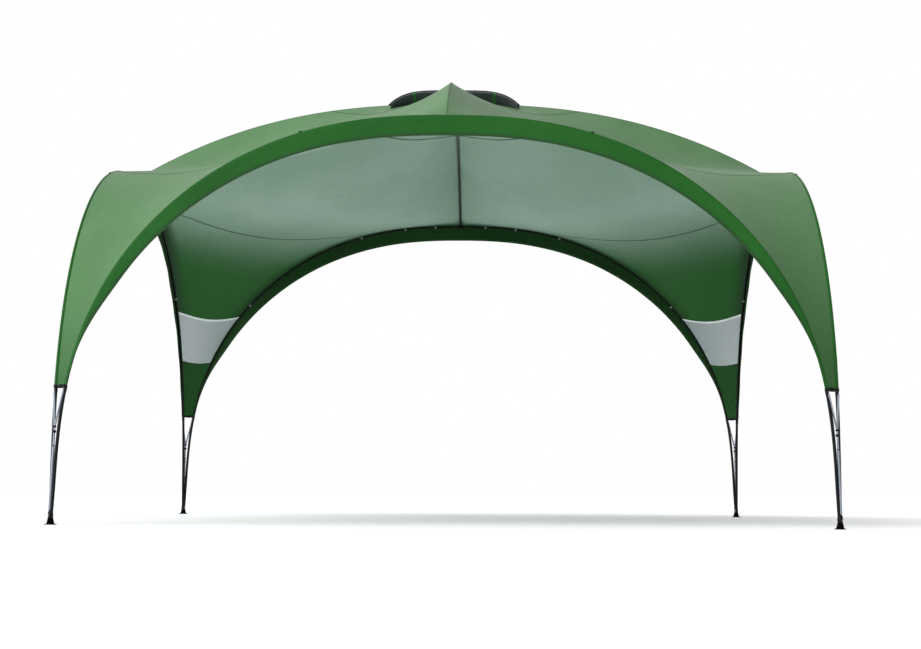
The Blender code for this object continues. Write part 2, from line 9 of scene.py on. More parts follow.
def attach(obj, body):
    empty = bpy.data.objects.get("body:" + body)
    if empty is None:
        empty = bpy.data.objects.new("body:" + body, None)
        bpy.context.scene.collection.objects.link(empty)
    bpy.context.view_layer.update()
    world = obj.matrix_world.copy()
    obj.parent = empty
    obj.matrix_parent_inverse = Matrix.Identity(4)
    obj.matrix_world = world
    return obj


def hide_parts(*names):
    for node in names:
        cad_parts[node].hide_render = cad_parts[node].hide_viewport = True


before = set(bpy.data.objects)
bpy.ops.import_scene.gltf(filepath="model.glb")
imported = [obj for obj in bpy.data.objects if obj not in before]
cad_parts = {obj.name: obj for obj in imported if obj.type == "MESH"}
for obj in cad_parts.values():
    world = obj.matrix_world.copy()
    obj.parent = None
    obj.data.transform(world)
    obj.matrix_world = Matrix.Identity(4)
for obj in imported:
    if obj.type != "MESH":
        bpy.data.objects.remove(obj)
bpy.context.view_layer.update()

# Dimensions shared with the CAD source, metres.
SPAN = 3.65
HALF = SPAN / 2.0
POLE_R = 0.00635
LEG_R = 0.008
CLOTH_T = 0.0024
CLOTH_OFFSET = POLE_R + 0.0010 + CLOTH_T / 2.0
ARCH_FOOT = 0.4985
ARCH_FOOT_Z = 0.0085
ARCH_ANGLE = 1.4891
ARCH_BEND = (0.2347, 0.9866, 0.5805, 0.9278)
ARCH_STEPS = 800
RIDGE_TOP = 0.648
RIDGE_POWER = 2.5
HEM_Z = 0.177
WINDOW_TOP_Z = 0.357
WINDOW_FOOT_Z = 0.273
SEAM_D = 0.153
SEAM_R = 0.1944
VENT_HOLE_R = 0.042
RIDGE_SLACK = 0.0022
VALANCE_LEG = 0.006
VALANCE_DROP = 0.086
VALANCE_WIDEN = (0.22, 0.52)
VENT_A = 0.100 * SPAN
VENT_B = 0.070 * SPAN
VENT_IN = 0.046 * SPAN
VENT_RISE = 0.0225 * SPAN
VENT_POWER = 4.5
VENT_CORNER_LIFT = 0.0056 * SPAN
FOOT_C = HALF * 0.9985
COLLAR_Z = 0.1233 * SPAN
BRACE_OUT = 0.009
CLIP_REACH = 0.038
HUB_POLE_R = 0.055

# Fine net: cells along the ridge, along the arch and across, three times the CAD net's.
FINE = 3
RIDGE_CELLS = 20 * FINE
ARCH_CELLS = 30 * FINE
CROSS_CELLS = 16 * FINE
SEAM_DIP = 5.48 * FINE
UPPER_DIP = -1.79 * FINE
TOP_DIP = 1.06 * FINE
LOW_DIP = 0.34 * FINE
SHEET_T = 0.0010
SOFT_EDGE = 0.0004

# Inward draw of the cloth: place along the net, where 0 is the centre, 1 the crown and 2 the hem,
# and curvature that it adds, as a fraction of 1 / SPAN.
DRAW_AT = (0.45, 0.95, 1.30, 2.00)
DRAW = (0.0, 5.06, -2.22, 0.0)

X_AXIS = np.array([1.0, 0.0, 0.0])
Y_AXIS = np.array([0.0, 1.0, 0.0])
UP = np.array([0.0, 0.0, 1.0])


# Shape of the shelter.

def unit(v):
    v = np.asarray(v, float)
    return v / np.maximum(np.linalg.norm(v, axis=-1, keepdims=True), 1e-12)


def arch_curve():
    t = (np.arange(ARCH_STEPS) + 0.5) / ARCH_STEPS
    u = 1.0 - 2.0 * t
    bend = sum(c * u ** k for k, c in enumerate(ARCH_BEND))
    phi = ARCH_ANGLE * (1.0 - t) + t * (1.0 - t) * bend
    run = np.concatenate([[0.0], np.cumsum(np.cos(phi))]) / ARCH_STEPS
    rise = np.concatenate([[0.0], np.cumsum(np.sin(phi))]) / ARCH_STEPS
    length = ARCH_FOOT / run[-1]
    return (ARCH_FOOT - run * length) * SPAN, (ARCH_FOOT_Z + rise * length) * SPAN


def resample(points, count):
    steps = np.linalg.norm(np.diff(points, axis=0), axis=1)
    s = np.concatenate([[0.0], np.cumsum(steps)])
    q = np.linspace(0.0, s[-1], count)
    return np.stack([np.interp(q, s, points[:, k]) for k in range(points.shape[1])], axis=1)


def with_normals(curve):
    tangent = unit(np.gradient(curve, axis=0))
    return curve, np.stack([tangent[:, 1], -tangent[:, 0]], axis=1)


def half_arch(low, count):
    d, z = arch_curve()
    keep = z > low
    start = [[float(np.interp(low, z, d)), low]]
    return with_normals(resample(np.concatenate([start, np.stack([d, z], axis=1)[keep]]), count))


def full_arch(low, count):
    d, z = arch_curve()
    keep = z > low
    d = np.concatenate([[float(np.interp(low, z, d))], d[keep]])
    z = np.concatenate([[low], z[keep]])
    curve = np.stack([np.concatenate([d, -d[-2::-1]]), np.concatenate([z, z[-2::-1]])], axis=1)
    return with_normals(resample(curve, count))


INSET = CLOTH_OFFSET * math.sqrt(0.5)
CROWN_Z = float(arch_curve()[1][-1])
RIDGE_FALL = (RIDGE_TOP - (CROWN_Z + INSET) / SPAN) / (0.5 - INSET / SPAN) ** RIDGE_POWER


def ridge_height(r):
    return SPAN * (RIDGE_TOP - RIDGE_FALL * (r / SPAN) ** RIDGE_POWER)


def side_path(ridge_cells, arch_cells):
    r = np.linspace(0.0, HALF - INSET, 400)
    ridge = np.stack([0.0 * r, -r, ridge_height(r)], axis=1)
    curve, normal = half_arch(HEM_Z * SPAN, 900)
    edge = (curve + INSET * normal)[::-1]
    arch = np.stack([edge[:, 0], np.full(len(edge), -(HALF - INSET)), edge[:, 1]], axis=1)
    arch[0] = ridge[-1]
    return np.concatenate([resample(ridge, ridge_cells + 1), resample(arch, arch_cells + 1)[1:]])


def pulls(net):
    """Pull of each thread, and the area of cloth that each node carries."""
    along = np.linalg.norm(np.diff(net, axis=0), axis=2)
    across = np.linalg.norm(np.diff(net, axis=1), axis=2)
    width = np.zeros(net.shape[:2])
    width[:, :-1] += across / 2.0
    width[:, 1:] += across / 2.0
    height = np.zeros(net.shape[:2])
    height[:-1] += along / 2.0
    height[1:] += along / 2.0
    return (
        (width[:-1] + width[1:]) / 2.0 / (along + SOFT_EDGE),
        (height[:, :-1] + height[:, 1:]) / 2.0 / (across + SOFT_EDGE),
        width * height,
    )


def net_normals(net, ridge_cells):
    n = np.cross(np.gradient(net, axis=1), np.gradient(net, axis=0))
    n[0] = n[1]
    n = unit(n)
    if n[ridge_cells // 2, net.shape[1] // 2, 2] < 0.0:
        n = -n
    n[: ridge_cells + 1, 0, 0] = 0.0
    n[: ridge_cells + 1, -1, 1] = 0.0
    return unit(n)


def drawn(net, ridge_cells, area):
    """How far the draw of the cloth pushes each node, before the pulls share it out."""
    rows = np.arange(len(net))
    arch_cells = len(net) - 1 - ridge_cells
    place = np.where(rows <= ridge_cells, rows / ridge_cells, 1.0 + (rows - ridge_cells) / arch_cells)
    draw = np.interp(place, DRAW_AT, DRAW) / SPAN
    return draw[:, None, None] * area[..., None] * net_normals(net, ridge_cells)


def ruled_net(ridge_cells, arch_cells, cross_cells):
    front = side_path(ridge_cells, arch_cells)
    side = np.stack([-front[:, 1], -front[:, 0], front[:, 2]], axis=1)
    t = np.linspace(0.0, 1.0, cross_cells + 1)[None, :, None]
    return front[:, None] * (1.0 - t) + side[:, None] * t


def solved_net():
    """The CAD source's own net: a tensioned cloth quarter at rest."""
    net = ruled_net(20, 30, 16)
    rows, cols = net.shape[:2]
    index = np.arange(rows * cols).reshape(rows, cols)
    held = np.zeros((rows, cols), bool)
    held[:, [0, -1]] = True
    held[[0, -1]] = True
    held = held.ravel()
    free = ~held
    for _ in range(4):
        a_pull, c_pull, area = pulls(net)
        links = np.zeros((rows * cols, rows * cols))
        for a, b, q in ((index[:-1], index[1:], a_pull), (index[:, :-1], index[:, 1:], c_pull)):
            links[a.ravel(), b.ravel()] += q.ravel()
            links[b.ravel(), a.ravel()] += q.ravel()
        push = drawn(net, 20, area).reshape(-1, 3)
        flat = net.reshape(-1, 3).copy()
        stiff = np.diag(links.sum(axis=1)[free]) - links[np.ix_(free, free)]
        flat[free] = np.linalg.solve(stiff, links[np.ix_(free, held)] @ flat[held] - push[free])
        net = flat.reshape(rows, cols, 3)
    return net


def sample(field, rows, cols):
    rows = np.asarray(rows, float)
    cols = np.asarray(cols, float)
    i = np.clip(np.floor(rows).astype(int), 0, field.shape[0] - 2)
    j = np.clip(np.floor(cols).astype(int), 0, field.shape[1] - 2)
    a = (rows - i)[..., None]
    b = (cols - j)[..., None]
    top = field[i, j] * (1 - b) + field[i, j + 1] * b
    low = field[i + 1, j] * (1 - b) + field[i + 1, j + 1] * b
    return top * (1 - a) + low * a


def fine_net():
    """The same cloth on a finer net, smoothed so that it stays on the solved shape."""
    coarse = solved_net()
    rows = np.linspace(0, coarse.shape[0] - 1, RIDGE_CELLS + ARCH_CELLS + 1)[:, None]
    cols = np.linspace(0, coarse.shape[1] - 1, CROSS_CELLS + 1)[None, :]
    rows, cols = np.broadcast_arrays(rows, cols)
    net = sample(coarse, rows, cols)
    edge = side_path(RIDGE_CELLS, ARCH_CELLS)
    net[:, 0] = edge
    net[:, -1] = np.stack([-edge[:, 1], -edge[:, 0], edge[:, 2]], axis=1)
    for k in range(240):
        if k % 40 == 0:
            a_pull, c_pull, area = pulls(net)
            push = drawn(net, RIDGE_CELLS, area)
        total = -push
        weight = np.zeros(net.shape[:2])
        total[1:] += a_pull[..., None] * net[:-1]
        total[:-1] += a_pull[..., None] * net[1:]
        weight[1:] += a_pull
        weight[:-1] += a_pull
        total[:, 1:] += c_pull[..., None] * net[:, :-1]
        total[:, :-1] += c_pull[..., None] * net[:, 1:]
        weight[:, 1:] += c_pull
        weight[:, :-1] += c_pull
        net[1:-1, 1:-1] = (total / weight[..., None])[1:-1, 1:-1]
    return net


NET = fine_net()
NORMAL = net_normals(NET, RIDGE_CELLS)
HEM_ROW = len(NET) - 1


def row_at_height(z):
    edge = NET[RIDGE_CELLS:, 0, 2]
    return RIDGE_CELLS + float(np.interp(-z, -edge, np.arange(len(edge))))


def row_at_offset(d):
    edge = NET[RIDGE_CELLS:, 0, 0]
    return RIDGE_CELLS + float(np.interp(d, edge, np.arange(len(edge))))


def row_on_ridge(r):
    edge = -NET[: RIDGE_CELLS + 1, 0, 1]
    return float(np.interp(r, edge, np.arange(len(edge))))


VENT_ROW = row_on_ridge(VENT_HOLE_R * SPAN)
UPPER_ROW = row_on_ridge(SEAM_R * SPAN)
SEAM_ROW = row_at_offset(SEAM_D * SPAN)
TOP_ROW = row_at_height(WINDOW_TOP_Z * SPAN)
LOW_ROW = row_at_height(WINDOW_FOOT_Z * SPAN)
QUARTERS = {
    "front_right": (1, -1),
    "front_left": (-1, -1),
    "back_left": (-1, 1),
    "back_right": (1, 1),
}


def roof_height(x, y):
    """Height of the stretched cloth over a plan position near the centre."""
    p = np.array([abs(x), -abs(y)])
    best = None
    near = NET[: RIDGE_CELLS // 2 + 1 : 2, ::2]
    for i in range(near.shape[0] - 1):
        for j in range(near.shape[1] - 1):
            a, b, c, d = near[i, j], near[i + 1, j], near[i + 1, j + 1], near[i, j + 1]
            for u, v, w in ((a, b, c), (a, c, d)):
                e = v[:2] - u[:2]
                f = w[:2] - u[:2]
                det = e[0] * f[1] - e[1] * f[0]
                if abs(det) < 1e-12:
                    continue
                q = p - u[:2]
                s = (q[0] * f[1] - q[1] * f[0]) / det
                t = (e[0] * q[1] - e[1] * q[0]) / det
                out = max(-s, -t, s + t - 1.0)
                if best is None or out < best[0]:
                    best = (out, u[2] + s * (v[2] - u[2]) + t * (w[2] - u[2]))
                if out <= 1e-9:
                    return best[1]
    return best[1]


# Mesh helpers.

class Mesh:
    """Collects vertices, faces, UVs and material numbers for one piece."""

    def __init__(self):
        self.verts = []
        self.faces = []
        self.uvs = []
        self.mats = []
        self.count = 0

    def add(self, verts, faces, uvs=None, mat=0, flip=False):
        """uvs: one pair per vertex."""
        verts = np.asarray(verts, float).reshape(-1, 3)
        if uvs is None:
            uvs = verts[:, :2]
        uvs = np.asarray(uvs, float).reshape(-1, 2)
        mats = mat if hasattr(mat, "__len__") else [mat] * len(faces)
        for f, m in zip(faces, mats):
            f = tuple(reversed(f)) if flip else tuple(f)
            self.faces.append(tuple(int(k) + self.count for k in f))
            self.uvs += [tuple(uvs[k]) for k in f]
            self.mats.append(m)
        self.verts.append(verts)
        self.count += len(verts)

    def make(self, name, materials, smooth=40.0, merge=None):
        mesh = bpy.data.meshes.new(name)
        verts = np.concatenate(self.verts)
        mesh.from_pydata([tuple(v) for v in verts.tolist()], [], self.faces)
        layer = mesh.uv_layers.new(name="UVMap")
        layer.data.foreach_set("uv", np.asarray(self.uvs, np.float32).ravel())
        for m in materials:
            mesh.materials.append(m)
        mesh.polygons.foreach_set("material_index", self.mats)
        if merge:
            bm = bmesh.new()
            bm.from_mesh(mesh)
            bmesh.ops.remove_doubles(bm, verts=bm.verts, dist=merge)
            bm.to_mesh(mesh)
            bm.free()
        mesh.polygons.foreach_set("use_smooth", [True] * len(mesh.polygons))
        mesh.set_sharp_from_angle(angle=math.radians(smooth))
        mesh.update()
        item = bpy.data.objects.new(name, mesh)
        bpy.context.scene.collection.objects.link(item)
        return item


def grid_faces(rows, cols, base=0, flip=False):
    out = []
    for i in range(rows - 1):
        for j in range(cols - 1):
            a = base + i * cols + j
            b, c, d = a + cols, a + cols + 1, a + 1
            out.append((a, d, c, b) if flip else (a, b, c, d))
    return out


def sheet_into(mesh, points, normals, uv, thick, mats=(0, 1), lift=0.0, joined=0):
    """Two-layer cloth: outer face towards the normals, inner face away from them, closed rim.

    The first few cells of both side edges, as many as joined says, are left open where the next
    panel carries the cloth on.
    """
    rows, cols = points.shape[:2]
    outer = points + normals * (lift + thick / 2.0)
    inner = points + normals * (lift - thick / 2.0)
    count = rows * cols
    verts = np.concatenate([outer.reshape(-1, 3), inner.reshape(-1, 3)])
    r = min(rows // 2, rows - 2)
    c = min(cols // 2, cols - 2)
    down = outer[r + 1, c] - outer[r, c]
    across = outer[r, c + 1] - outer[r, c]
    turn = float(np.dot(np.cross(down, across), normals[r, c])) < 0.0
    faces = grid_faces(rows, cols, 0, turn)
    faces_in = grid_faces(rows, cols, count, not turn)
    which = [mats[0]] * len(faces) + [mats[1]] * len(faces_in)
    faces += faces_in
    rim = [(j, j + 1) for j in range(cols - 1)]
    rim += [(i * cols + cols - 1, (i + 1) * cols + cols - 1) for i in range(joined, rows - 1)]
    rim += [((rows - 1) * cols + j + 1, (rows - 1) * cols + j) for j in range(cols - 1)]
    rim += [((i + 1) * cols, i * cols) for i in range(joined, rows - 1)]
    for p, q in rim:
        faces.append((p, p + count, q + count, q) if turn else (p, q, q + count, p + count))
        which.append(mats[0])
    uvs = np.concatenate([uv.reshape(-1, 2), uv.reshape(-1, 2)])
    mesh.add(verts, faces, uvs, which)


def sheet_area(points):
    """Area of a grid of points, square metres."""
    a = np.diff(points, axis=0)
    b = np.diff(points, axis=1)
    return float(np.linalg.norm(np.cross((a[:, :-1] + a[:, 1:]) / 2.0, (b[:-1] + b[1:]) / 2.0), axis=2).sum())


def measured_uv(points):
    """Metres along the rows and across the columns, from the middle lines of a grid."""
    down = np.linalg.norm(np.diff(points, axis=0), axis=2).mean(axis=1)
    across = np.linalg.norm(np.diff(points, axis=1), axis=2)
    u = np.concatenate([[0.0], np.cumsum(down)])[:, None]
    v = np.concatenate([np.zeros((len(points), 1)), np.cumsum(across, axis=1)], axis=1)
    v = v - v[:, -1:] / 2.0
    return np.stack([np.broadcast_to(u, v.shape), v], axis=-1)


def bar(mesh, path, radius, sides=16, flat=None, mat=0, caps=True):
    """Round bar or shaped sweep along a path; radius may be a list, one per point."""
    path = np.asarray(path, float)
    n = len(path)
    radius = np.broadcast_to(np.asarray(radius, float), (n,))
    step = np.gradient(path, axis=0)
    tangent = unit(step)
    if flat is None:
        t = tangent[0]
        other = UP if abs(t[2]) < 0.9 else np.array([1.0, 0.0, 0.0])
        flat = np.cross(t, other)
    u = unit(np.asarray(flat, float))
    ang = np.arange(sides) * 2.0 * math.pi / sides
    verts = []
    frames = []
    for k in range(n):
        u = unit(u - tangent[k] * float(np.dot(u, tangent[k])))
        v = np.cross(tangent[k], u)
        frames.append((u, v))
        ring = np.cos(ang)[:, None] * u + np.sin(ang)[:, None] * v
        verts.append(path[k] + radius[k] * ring)
    verts = np.concatenate(verts)
    along = np.concatenate([[0.0], np.cumsum(np.linalg.norm(np.diff(path, axis=0), axis=1))])
    uv = np.stack([
        np.repeat(along, sides),
        np.tile(ang * float(radius.mean()), n),
    ], axis=1)
    faces = []
    for i in range(n - 1):
        for j in range(sides):
            k = (j + 1) % sides
            faces.append((i * sides + j, i * sides + k, (i + 1) * sides + k, (i + 1) * sides + j))
    if caps:
        faces.append(tuple(range(sides - 1, -1, -1)))
        faces.append(tuple(range((n - 1) * sides, n * sides)))
    mesh.add(verts, faces, uv, mat)
    return frames


def turned(mesh, profile, centre, axis=(0, 0, 1), sides=32, mat=0):
    """Turned solid: profile is a list of (radius, distance along the axis)."""
    axis = unit(axis)
    other = np.array([1.0, 0.0, 0.0]) if abs(axis[0]) < 0.9 else np.array([0.0, 1.0, 0.0])
    u = unit(np.cross(axis, other))
    v = np.cross(axis, u)
    ang = np.arange(sides) * 2.0 * math.pi / sides
    ring = np.cos(ang)[:, None] * u + np.sin(ang)[:, None] * v
    verts = np.concatenate([np.asarray(centre, float) + r * ring + h * axis for r, h in profile])
    faces = []
    for i in range(len(profile) - 1):
        for j in range(sides):
            k = (j + 1) % sides
            faces.append((i * sides + j, i * sides + k, (i + 1) * sides + k, (i + 1) * sides + j))
    faces.append(tuple(range(sides - 1, -1, -1)))
    faces.append(tuple(range((len(profile) - 1) * sides, len(profile) * sides)))
    uv = np.concatenate([np.stack([ang * 0.02, np.full(sides, h)], axis=1) for r, h in profile])
    mesh.add(verts, faces, uv, mat)


def rounded_block(mesh, centre, axes, sizes, edge, mat=0):
    """Block with rounded edges: a box whose faces are set in by edge, with bevel faces between."""
    centre = np.asarray(centre, float)
    axes = [unit(a) for a in axes]
    half = [s / 2.0 for s in sizes]
    bm = bmesh.new()
    bmesh.ops.create_cube(bm, size=2.0)
    for v in bm.verts:
        v.co = Vector((v.co.x * half[0], v.co.y * half[1], v.co.z * half[2]))
    bmesh.ops.bevel(bm, geom=list(bm.edges), offset=edge, segments=3, profile=0.6, affect="EDGES")
    bm.verts.ensure_lookup_table()
    verts = np.array([centre + v.co.x * axes[0] + v.co.y * axes[1] + v.co.z * axes[2] for v in bm.verts])
    faces = [tuple(v.index for v in f.verts) for f in bm.faces]
    hand = float(np.dot(np.cross(axes[0], axes[1]), axes[2])) < 0.0
    bm.free()
    mesh.add(verts, faces, verts[:, :2], mat, flip=hand)


def mirror_object(item, name, matrix):
    mesh = item.data.copy()
    mesh.name = name
    mesh.transform(matrix)
    if matrix.determinant() < 0.0:
        mesh.flip_normals()
    made = bpy.data.objects.new(name, mesh)
    bpy.context.scene.collection.objects.link(made)
    return made


MIRROR = {
    (1, 1): Matrix.Identity(4),
    (-1, 1): Matrix.Diagonal((-1, 1, 1, 1)),
    (1, -1): Matrix.Diagonal((1, -1, 1, 1)),
    (-1, -1): Matrix.Diagonal((-1, -1, 1, 1)),
}
TO_SIDE = Matrix(((0, -1, 0, 0), (-1, 0, 0, 0), (0, 0, 1, 0), (0, 0, 0, 1)))
SIDES4 = {
    "front": MIRROR[(1, 1)],
    "back": MIRROR[(1, -1)],
    "right": TO_SIDE,
    "left": MIRROR[(-1, 1)] @ TO_SIDE,
}


# Materials.

class Nodes:
    """Short names for building a node tree."""

    def __init__(self, name):
        self.mat = bpy.data.materials.new(name)
        self.mat.use_nodes = True
        self.tree = self.mat.node_tree
        self.shader = self.tree.nodes["Principled BSDF"]

    def new(self, kind, **values):
        node = self.tree.nodes.new(kind)
        for key, value in values.items():
            if hasattr(node, key) and not key[0].isupper():
                setattr(node, key, value)
            else:
                node.inputs[key.replace("_", " ")].default_value = value
        return node

    def link(self, a, b):
        self.tree.links.new(a, b)

    def math(self, op, a, b=None, clamp=False):
        node = self.tree.nodes.new("ShaderNodeMath")
        node.operation = op
        node.use_clamp = clamp
        for k, value in enumerate((a, b)):
            if value is None:
                continue
            if isinstance(value, (int, float)):
                node.inputs[k].default_value = value
            else:
                self.link(value, node.inputs[k])
        return node.outputs[0]

    def mix(self, fac, a, b):
        node = self.tree.nodes.new("ShaderNodeMix")
        node.data_type = "RGBA"
        for value, socket in ((fac, node.inputs[0]), (a, node.inputs[6]), (b, node.inputs[7])):
            if isinstance(value, (int, float)):
                socket.default_value = value
            elif isinstance(value, tuple):
                socket.default_value = (*value, 1.0)
            else:
                self.link(value, socket)
        return node.outputs[2]

    def place(self):
        return self.new("ShaderNodeTexCoord").outputs["Object"]

    def split(self, vector):
        node = self.new("ShaderNodeSeparateXYZ")
        self.link(vector, node.inputs[0])
        return node.outputs

    def noise(self, vector, scale, detail=3.0, rough=0.5):
        node = self.new("ShaderNodeTexNoise")
        node.inputs["Scale"].default_value = scale
        node.inputs["Detail"].default_value = detail
        node.inputs["Roughness"].default_value = rough
        self.link(vector, node.inputs["Vector"])
        return node.outputs["Fac"]

    def ramp(self, fac, low, high):
        node = self.new("ShaderNodeMapRange")
        node.interpolation_type = "SMOOTHSTEP"
        node.inputs["From Min"].default_value = low
        node.inputs["From Max"].default_value = high
        self.link(fac, node.inputs["Value"])
        return node.outputs["Result"]

    def bump(self, height, distance, strength=1.0, normal=None):
        node = self.new("ShaderNodeBump")
        node.inputs["Strength"].default_value = strength
        node.inputs["Distance"].default_value = distance
        self.link(height, node.inputs["Height"])
        if normal is not None:
            self.link(normal, node.inputs["Normal"])
        return node.outputs["Normal"]

    def weave(self, pitch):
        """Plain weave from the UVs, which are in metres."""
        uv = self.new("ShaderNodeTexCoord").outputs["UV"]
        parts = self.split(uv)
        k = 2.0 * math.pi / pitch
        a = self.math("SINE", self.math("MULTIPLY", parts[0], k))
        b = self.math("SINE", self.math("MULTIPLY", parts[1], k))
        return self.math("MULTIPLY", a, b), parts

    def finish(self, colour, roughness, normal=None, **fixed):
        if isinstance(colour, tuple):
            self.shader.inputs["Base Color"].default_value = (*colour, 1.0)
        else:
            self.link(colour, self.shader.inputs["Base Color"])
        if isinstance(roughness, float):
            self.shader.inputs["Roughness"].default_value = roughness
        else:
            self.link(roughness, self.shader.inputs["Roughness"])
        if normal is not None:
            self.link(normal, self.shader.inputs["Normal"])
        for key, value in fixed.items():
            self.shader.inputs[key.replace("_", " ")].default_value = value
        return self.mat


def srgb(r, g, b):
    out = []
    for c in (r, g, b):
        c = c / 255.0
        out.append(c / 12.92 if c <= 0.04045 else ((c + 0.055) / 1.055) ** 2.4)
    return tuple(out)


def cloth(name, base, pale, dark, rough=0.52, sheen=0.3, pitch=0.0009, grade=None):
    """Coated polyester: tight weave, faint ripples, mottled by handling; grade, where given, adds painted light and
    shade by position.
    """
    n = Nodes(name)
    place = n.place()
    weave, _ = n.weave(pitch)
    broad = n.noise(place, 1.7, 4.0, 0.55)
    fine = n.noise(place, 46.0, 3.0, 0.6)
    colour = n.mix(n.ramp(broad, 0.35, 0.68), base, pale)
    colour = n.mix(n.math("MULTIPLY", n.ramp(fine, 0.45, 0.8), 0.28), colour, dark)
    if grade:
        colour = grade(n, place, colour)
    shade = n.math("MULTIPLY", n.ramp(weave, -1.0, 1.0), 0.10)
    colour = n.mix(shade, colour, dark)
    ripple = n.noise(place, 5.5, 3.0, 0.5)
    normal = n.bump(ripple, 0.010, 0.35)
    normal = n.bump(weave, 0.00012, 0.5, normal)
    rough_v = n.math("ADD", n.math("MULTIPLY", fine, 0.14), rough - 0.07)
    return n.finish(colour, rough_v, normal, Sheen_Weight=sheen, Sheen_Roughness=0.25,
                    Specular_IOR_Level=0.13)


def outer_painted_shade_grade(n, place, colour):
    """Painted light and shade by height: paler over the top, where the light falls, and darker down towards the legs,
    where the cloth is in shade.
    """
    z = n.split(place)[2]
    # Painted shade: a darker green lower down, darkest towards the legs.
    low = n.mix(0.45, colour, srgb(56, 98, 53))
    colour = n.mix(n.ramp(z, 0.95, 1.75), low, colour)
    return n.mix(n.ramp(z, 0.45, 1.2), srgb(46, 86, 46), colour)


def inner_painted_shade_grade(n, place, colour):
    """Grey-green coated side with painted shade: darkening to deep green down into the corners, and a dark band where
    it turns over the arches.
    """
    parts = n.split(place)
    ax = n.math("ABSOLUTE", parts[0])
    ay = n.math("ABSOLUTE", parts[1])
    # Painted shade: darker green the lower and the further out towards the corners.
    out = n.math("MULTIPLY", n.math("ADD", ax, ay), 0.45)
    t = n.ramp(n.math("SUBTRACT", parts[2], out), 0.20, 1.06)
    colour = n.mix(t, srgb(22, 80, 22), colour)
    # Painted shade: a dark green band along the arches, where the cloth turns over them.
    turn = n.ramp(n.math("MAXIMUM", ax, ay), HALF - 0.085, HALF - 0.012)
    return n.mix(turn, colour, srgb(24, 62, 26))


def stitched(name, base, thread, rows, pitch=0.0032, weave_pitch=0.0009):
    """Seam tape with rows of stitches: U runs along the tape, V across it, both in metres."""
    n = Nodes(name)
    weave, parts = n.weave(weave_pitch)
    mask = None
    for v in rows:
        off = n.math("ABSOLUTE", n.math("SUBTRACT", parts[1], v))
        line = n.math("LESS_THAN", off, 0.0007)
        mask = line if mask is None else n.math("MAXIMUM", mask, line)
    dash = n.math("LESS_THAN", n.math("FRACT", n.math("DIVIDE", parts[0], pitch)), 0.72)
    mask = n.math("MULTIPLY", mask, dash)
    place = n.place()
    grain = n.noise(place, 60.0, 3.0, 0.6)
    colour = n.mix(n.math("MULTIPLY", grain, 0.35), base, tuple(c * 0.6 for c in base))
    colour = n.mix(mask, colour, thread)
    normal = n.bump(weave, 0.00012, 0.5)
    normal = n.bump(mask, 0.0004, 0.8, normal)
    return n.finish(colour, n.math("ADD", n.math("MULTIPLY", grain, 0.15), 0.5), normal, Sheen_Weight=0.04,
                    Specular_IOR_Level=0.2)


def netting(name, colour, pitch, open_share, rough=0.7):
    """Woven netting with real see-through holes."""
    n = Nodes(name)
    uv = n.new("ShaderNodeTexCoord").outputs["UV"]
    parts = n.split(uv)
    bars = []
    for p in (parts[0], parts[1]):
        f = n.math("FRACT", n.math("DIVIDE", p, pitch))
        bars.append(n.math("LESS_THAN", f, 1.0 - math.sqrt(open_share)))
    solid = n.math("MAXIMUM", bars[0], bars[1])
    place = n.place()
    tone = n.noise(place, 14.0, 3.0, 0.6)
    shade = n.mix(n.math("MULTIPLY", tone, 0.4), colour, tuple(c * 0.55 for c in colour))
    normal = n.bump(solid, 0.0003, 0.6)
    mat = n.finish(shade, rough, normal)
    n.link(solid, n.shader.inputs["Alpha"])
    return mat


def metal(name, colour, rough, metallic=0.9, scratch=0.5, shine=0.5):
    """Drawn tube under a thin coat: long faint streaks, fine pitting and rubbed spots."""
    n = Nodes(name)
    place = n.place()
    uv = n.new("ShaderNodeTexCoord").outputs["UV"]
    stretch = n.new("ShaderNodeMapping")
    stretch.inputs["Scale"].default_value = (3.0, 260.0, 1.0)
    n.link(uv, stretch.inputs["Vector"])
    streak = n.noise(stretch.outputs[0], 1.0, 4.0, 0.65)
    spots = n.noise(place, 38.0, 4.0, 0.65)
    worn = n.ramp(spots, 0.60, 0.74)
    shade = n.mix(n.math("MULTIPLY", streak, 0.5), colour, tuple(c * 0.62 for c in colour))
    shade = n.mix(n.math("MULTIPLY", worn, scratch), shade, tuple(min(1.0, c * 1.9) for c in colour))
    rv = n.math("ADD", n.math("MULTIPLY", streak, 0.18), rough - 0.07)
    normal = n.bump(streak, 0.00012, 0.5)
    normal = n.bump(spots, 0.0002, 0.35, normal)
    return n.finish(shade, rv, normal, Metallic=metallic, Specular_IOR_Level=shine)


def plastic(name, colour, rough, grain=900.0, shine=0.12):
    """Moulded plastic: fine spark-eroded grain, a little dust and scuffing."""
    n = Nodes(name)
    place = n.place()
    fine = n.noise(place, grain, 2.0, 0.5)
    broad = n.noise(place, 60.0, 4.0, 0.6)
    dust = n.ramp(broad, 0.55, 0.8)
    pale = tuple(min(1.0, c * 1.8 + 0.005) for c in colour)
    shade = n.mix(n.math("MULTIPLY", dust, 0.5), colour, pale)
    rv = n.math("ADD", n.math("MULTIPLY", broad, 0.2), rough - 0.1)
    return n.finish(shade, rv, n.bump(fine, 0.00015, 0.5), Specular_IOR_Level=shine)


def webbing(name, colour):
    """Ribbed nylon webbing: ribs across the strap, twill along it."""
    n = Nodes(name)
    uv = n.new("ShaderNodeTexCoord").outputs["UV"]
    parts = n.split(uv)
    k = 2.0 * math.pi / 0.0016
    rib = n.math("SINE", n.math("MULTIPLY", parts[0], k))
    twill = n.math("SINE", n.math("MULTIPLY", n.math("ADD", parts[0], parts[1]), k * 0.7))
    both = n.math("ADD", rib, n.math("MULTIPLY", twill, 0.5))
    place = n.place()
    grain = n.noise(place, 80.0, 3.0, 0.6)
    shade = n.mix(n.math("MULTIPLY", grain, 0.5), colour, tuple(c * 2.2 + 0.01 for c in colour))
    return n.finish(shade, 0.75, n.bump(both, 0.0003, 0.7), Sheen_Weight=0.05, Specular_IOR_Level=0.2)
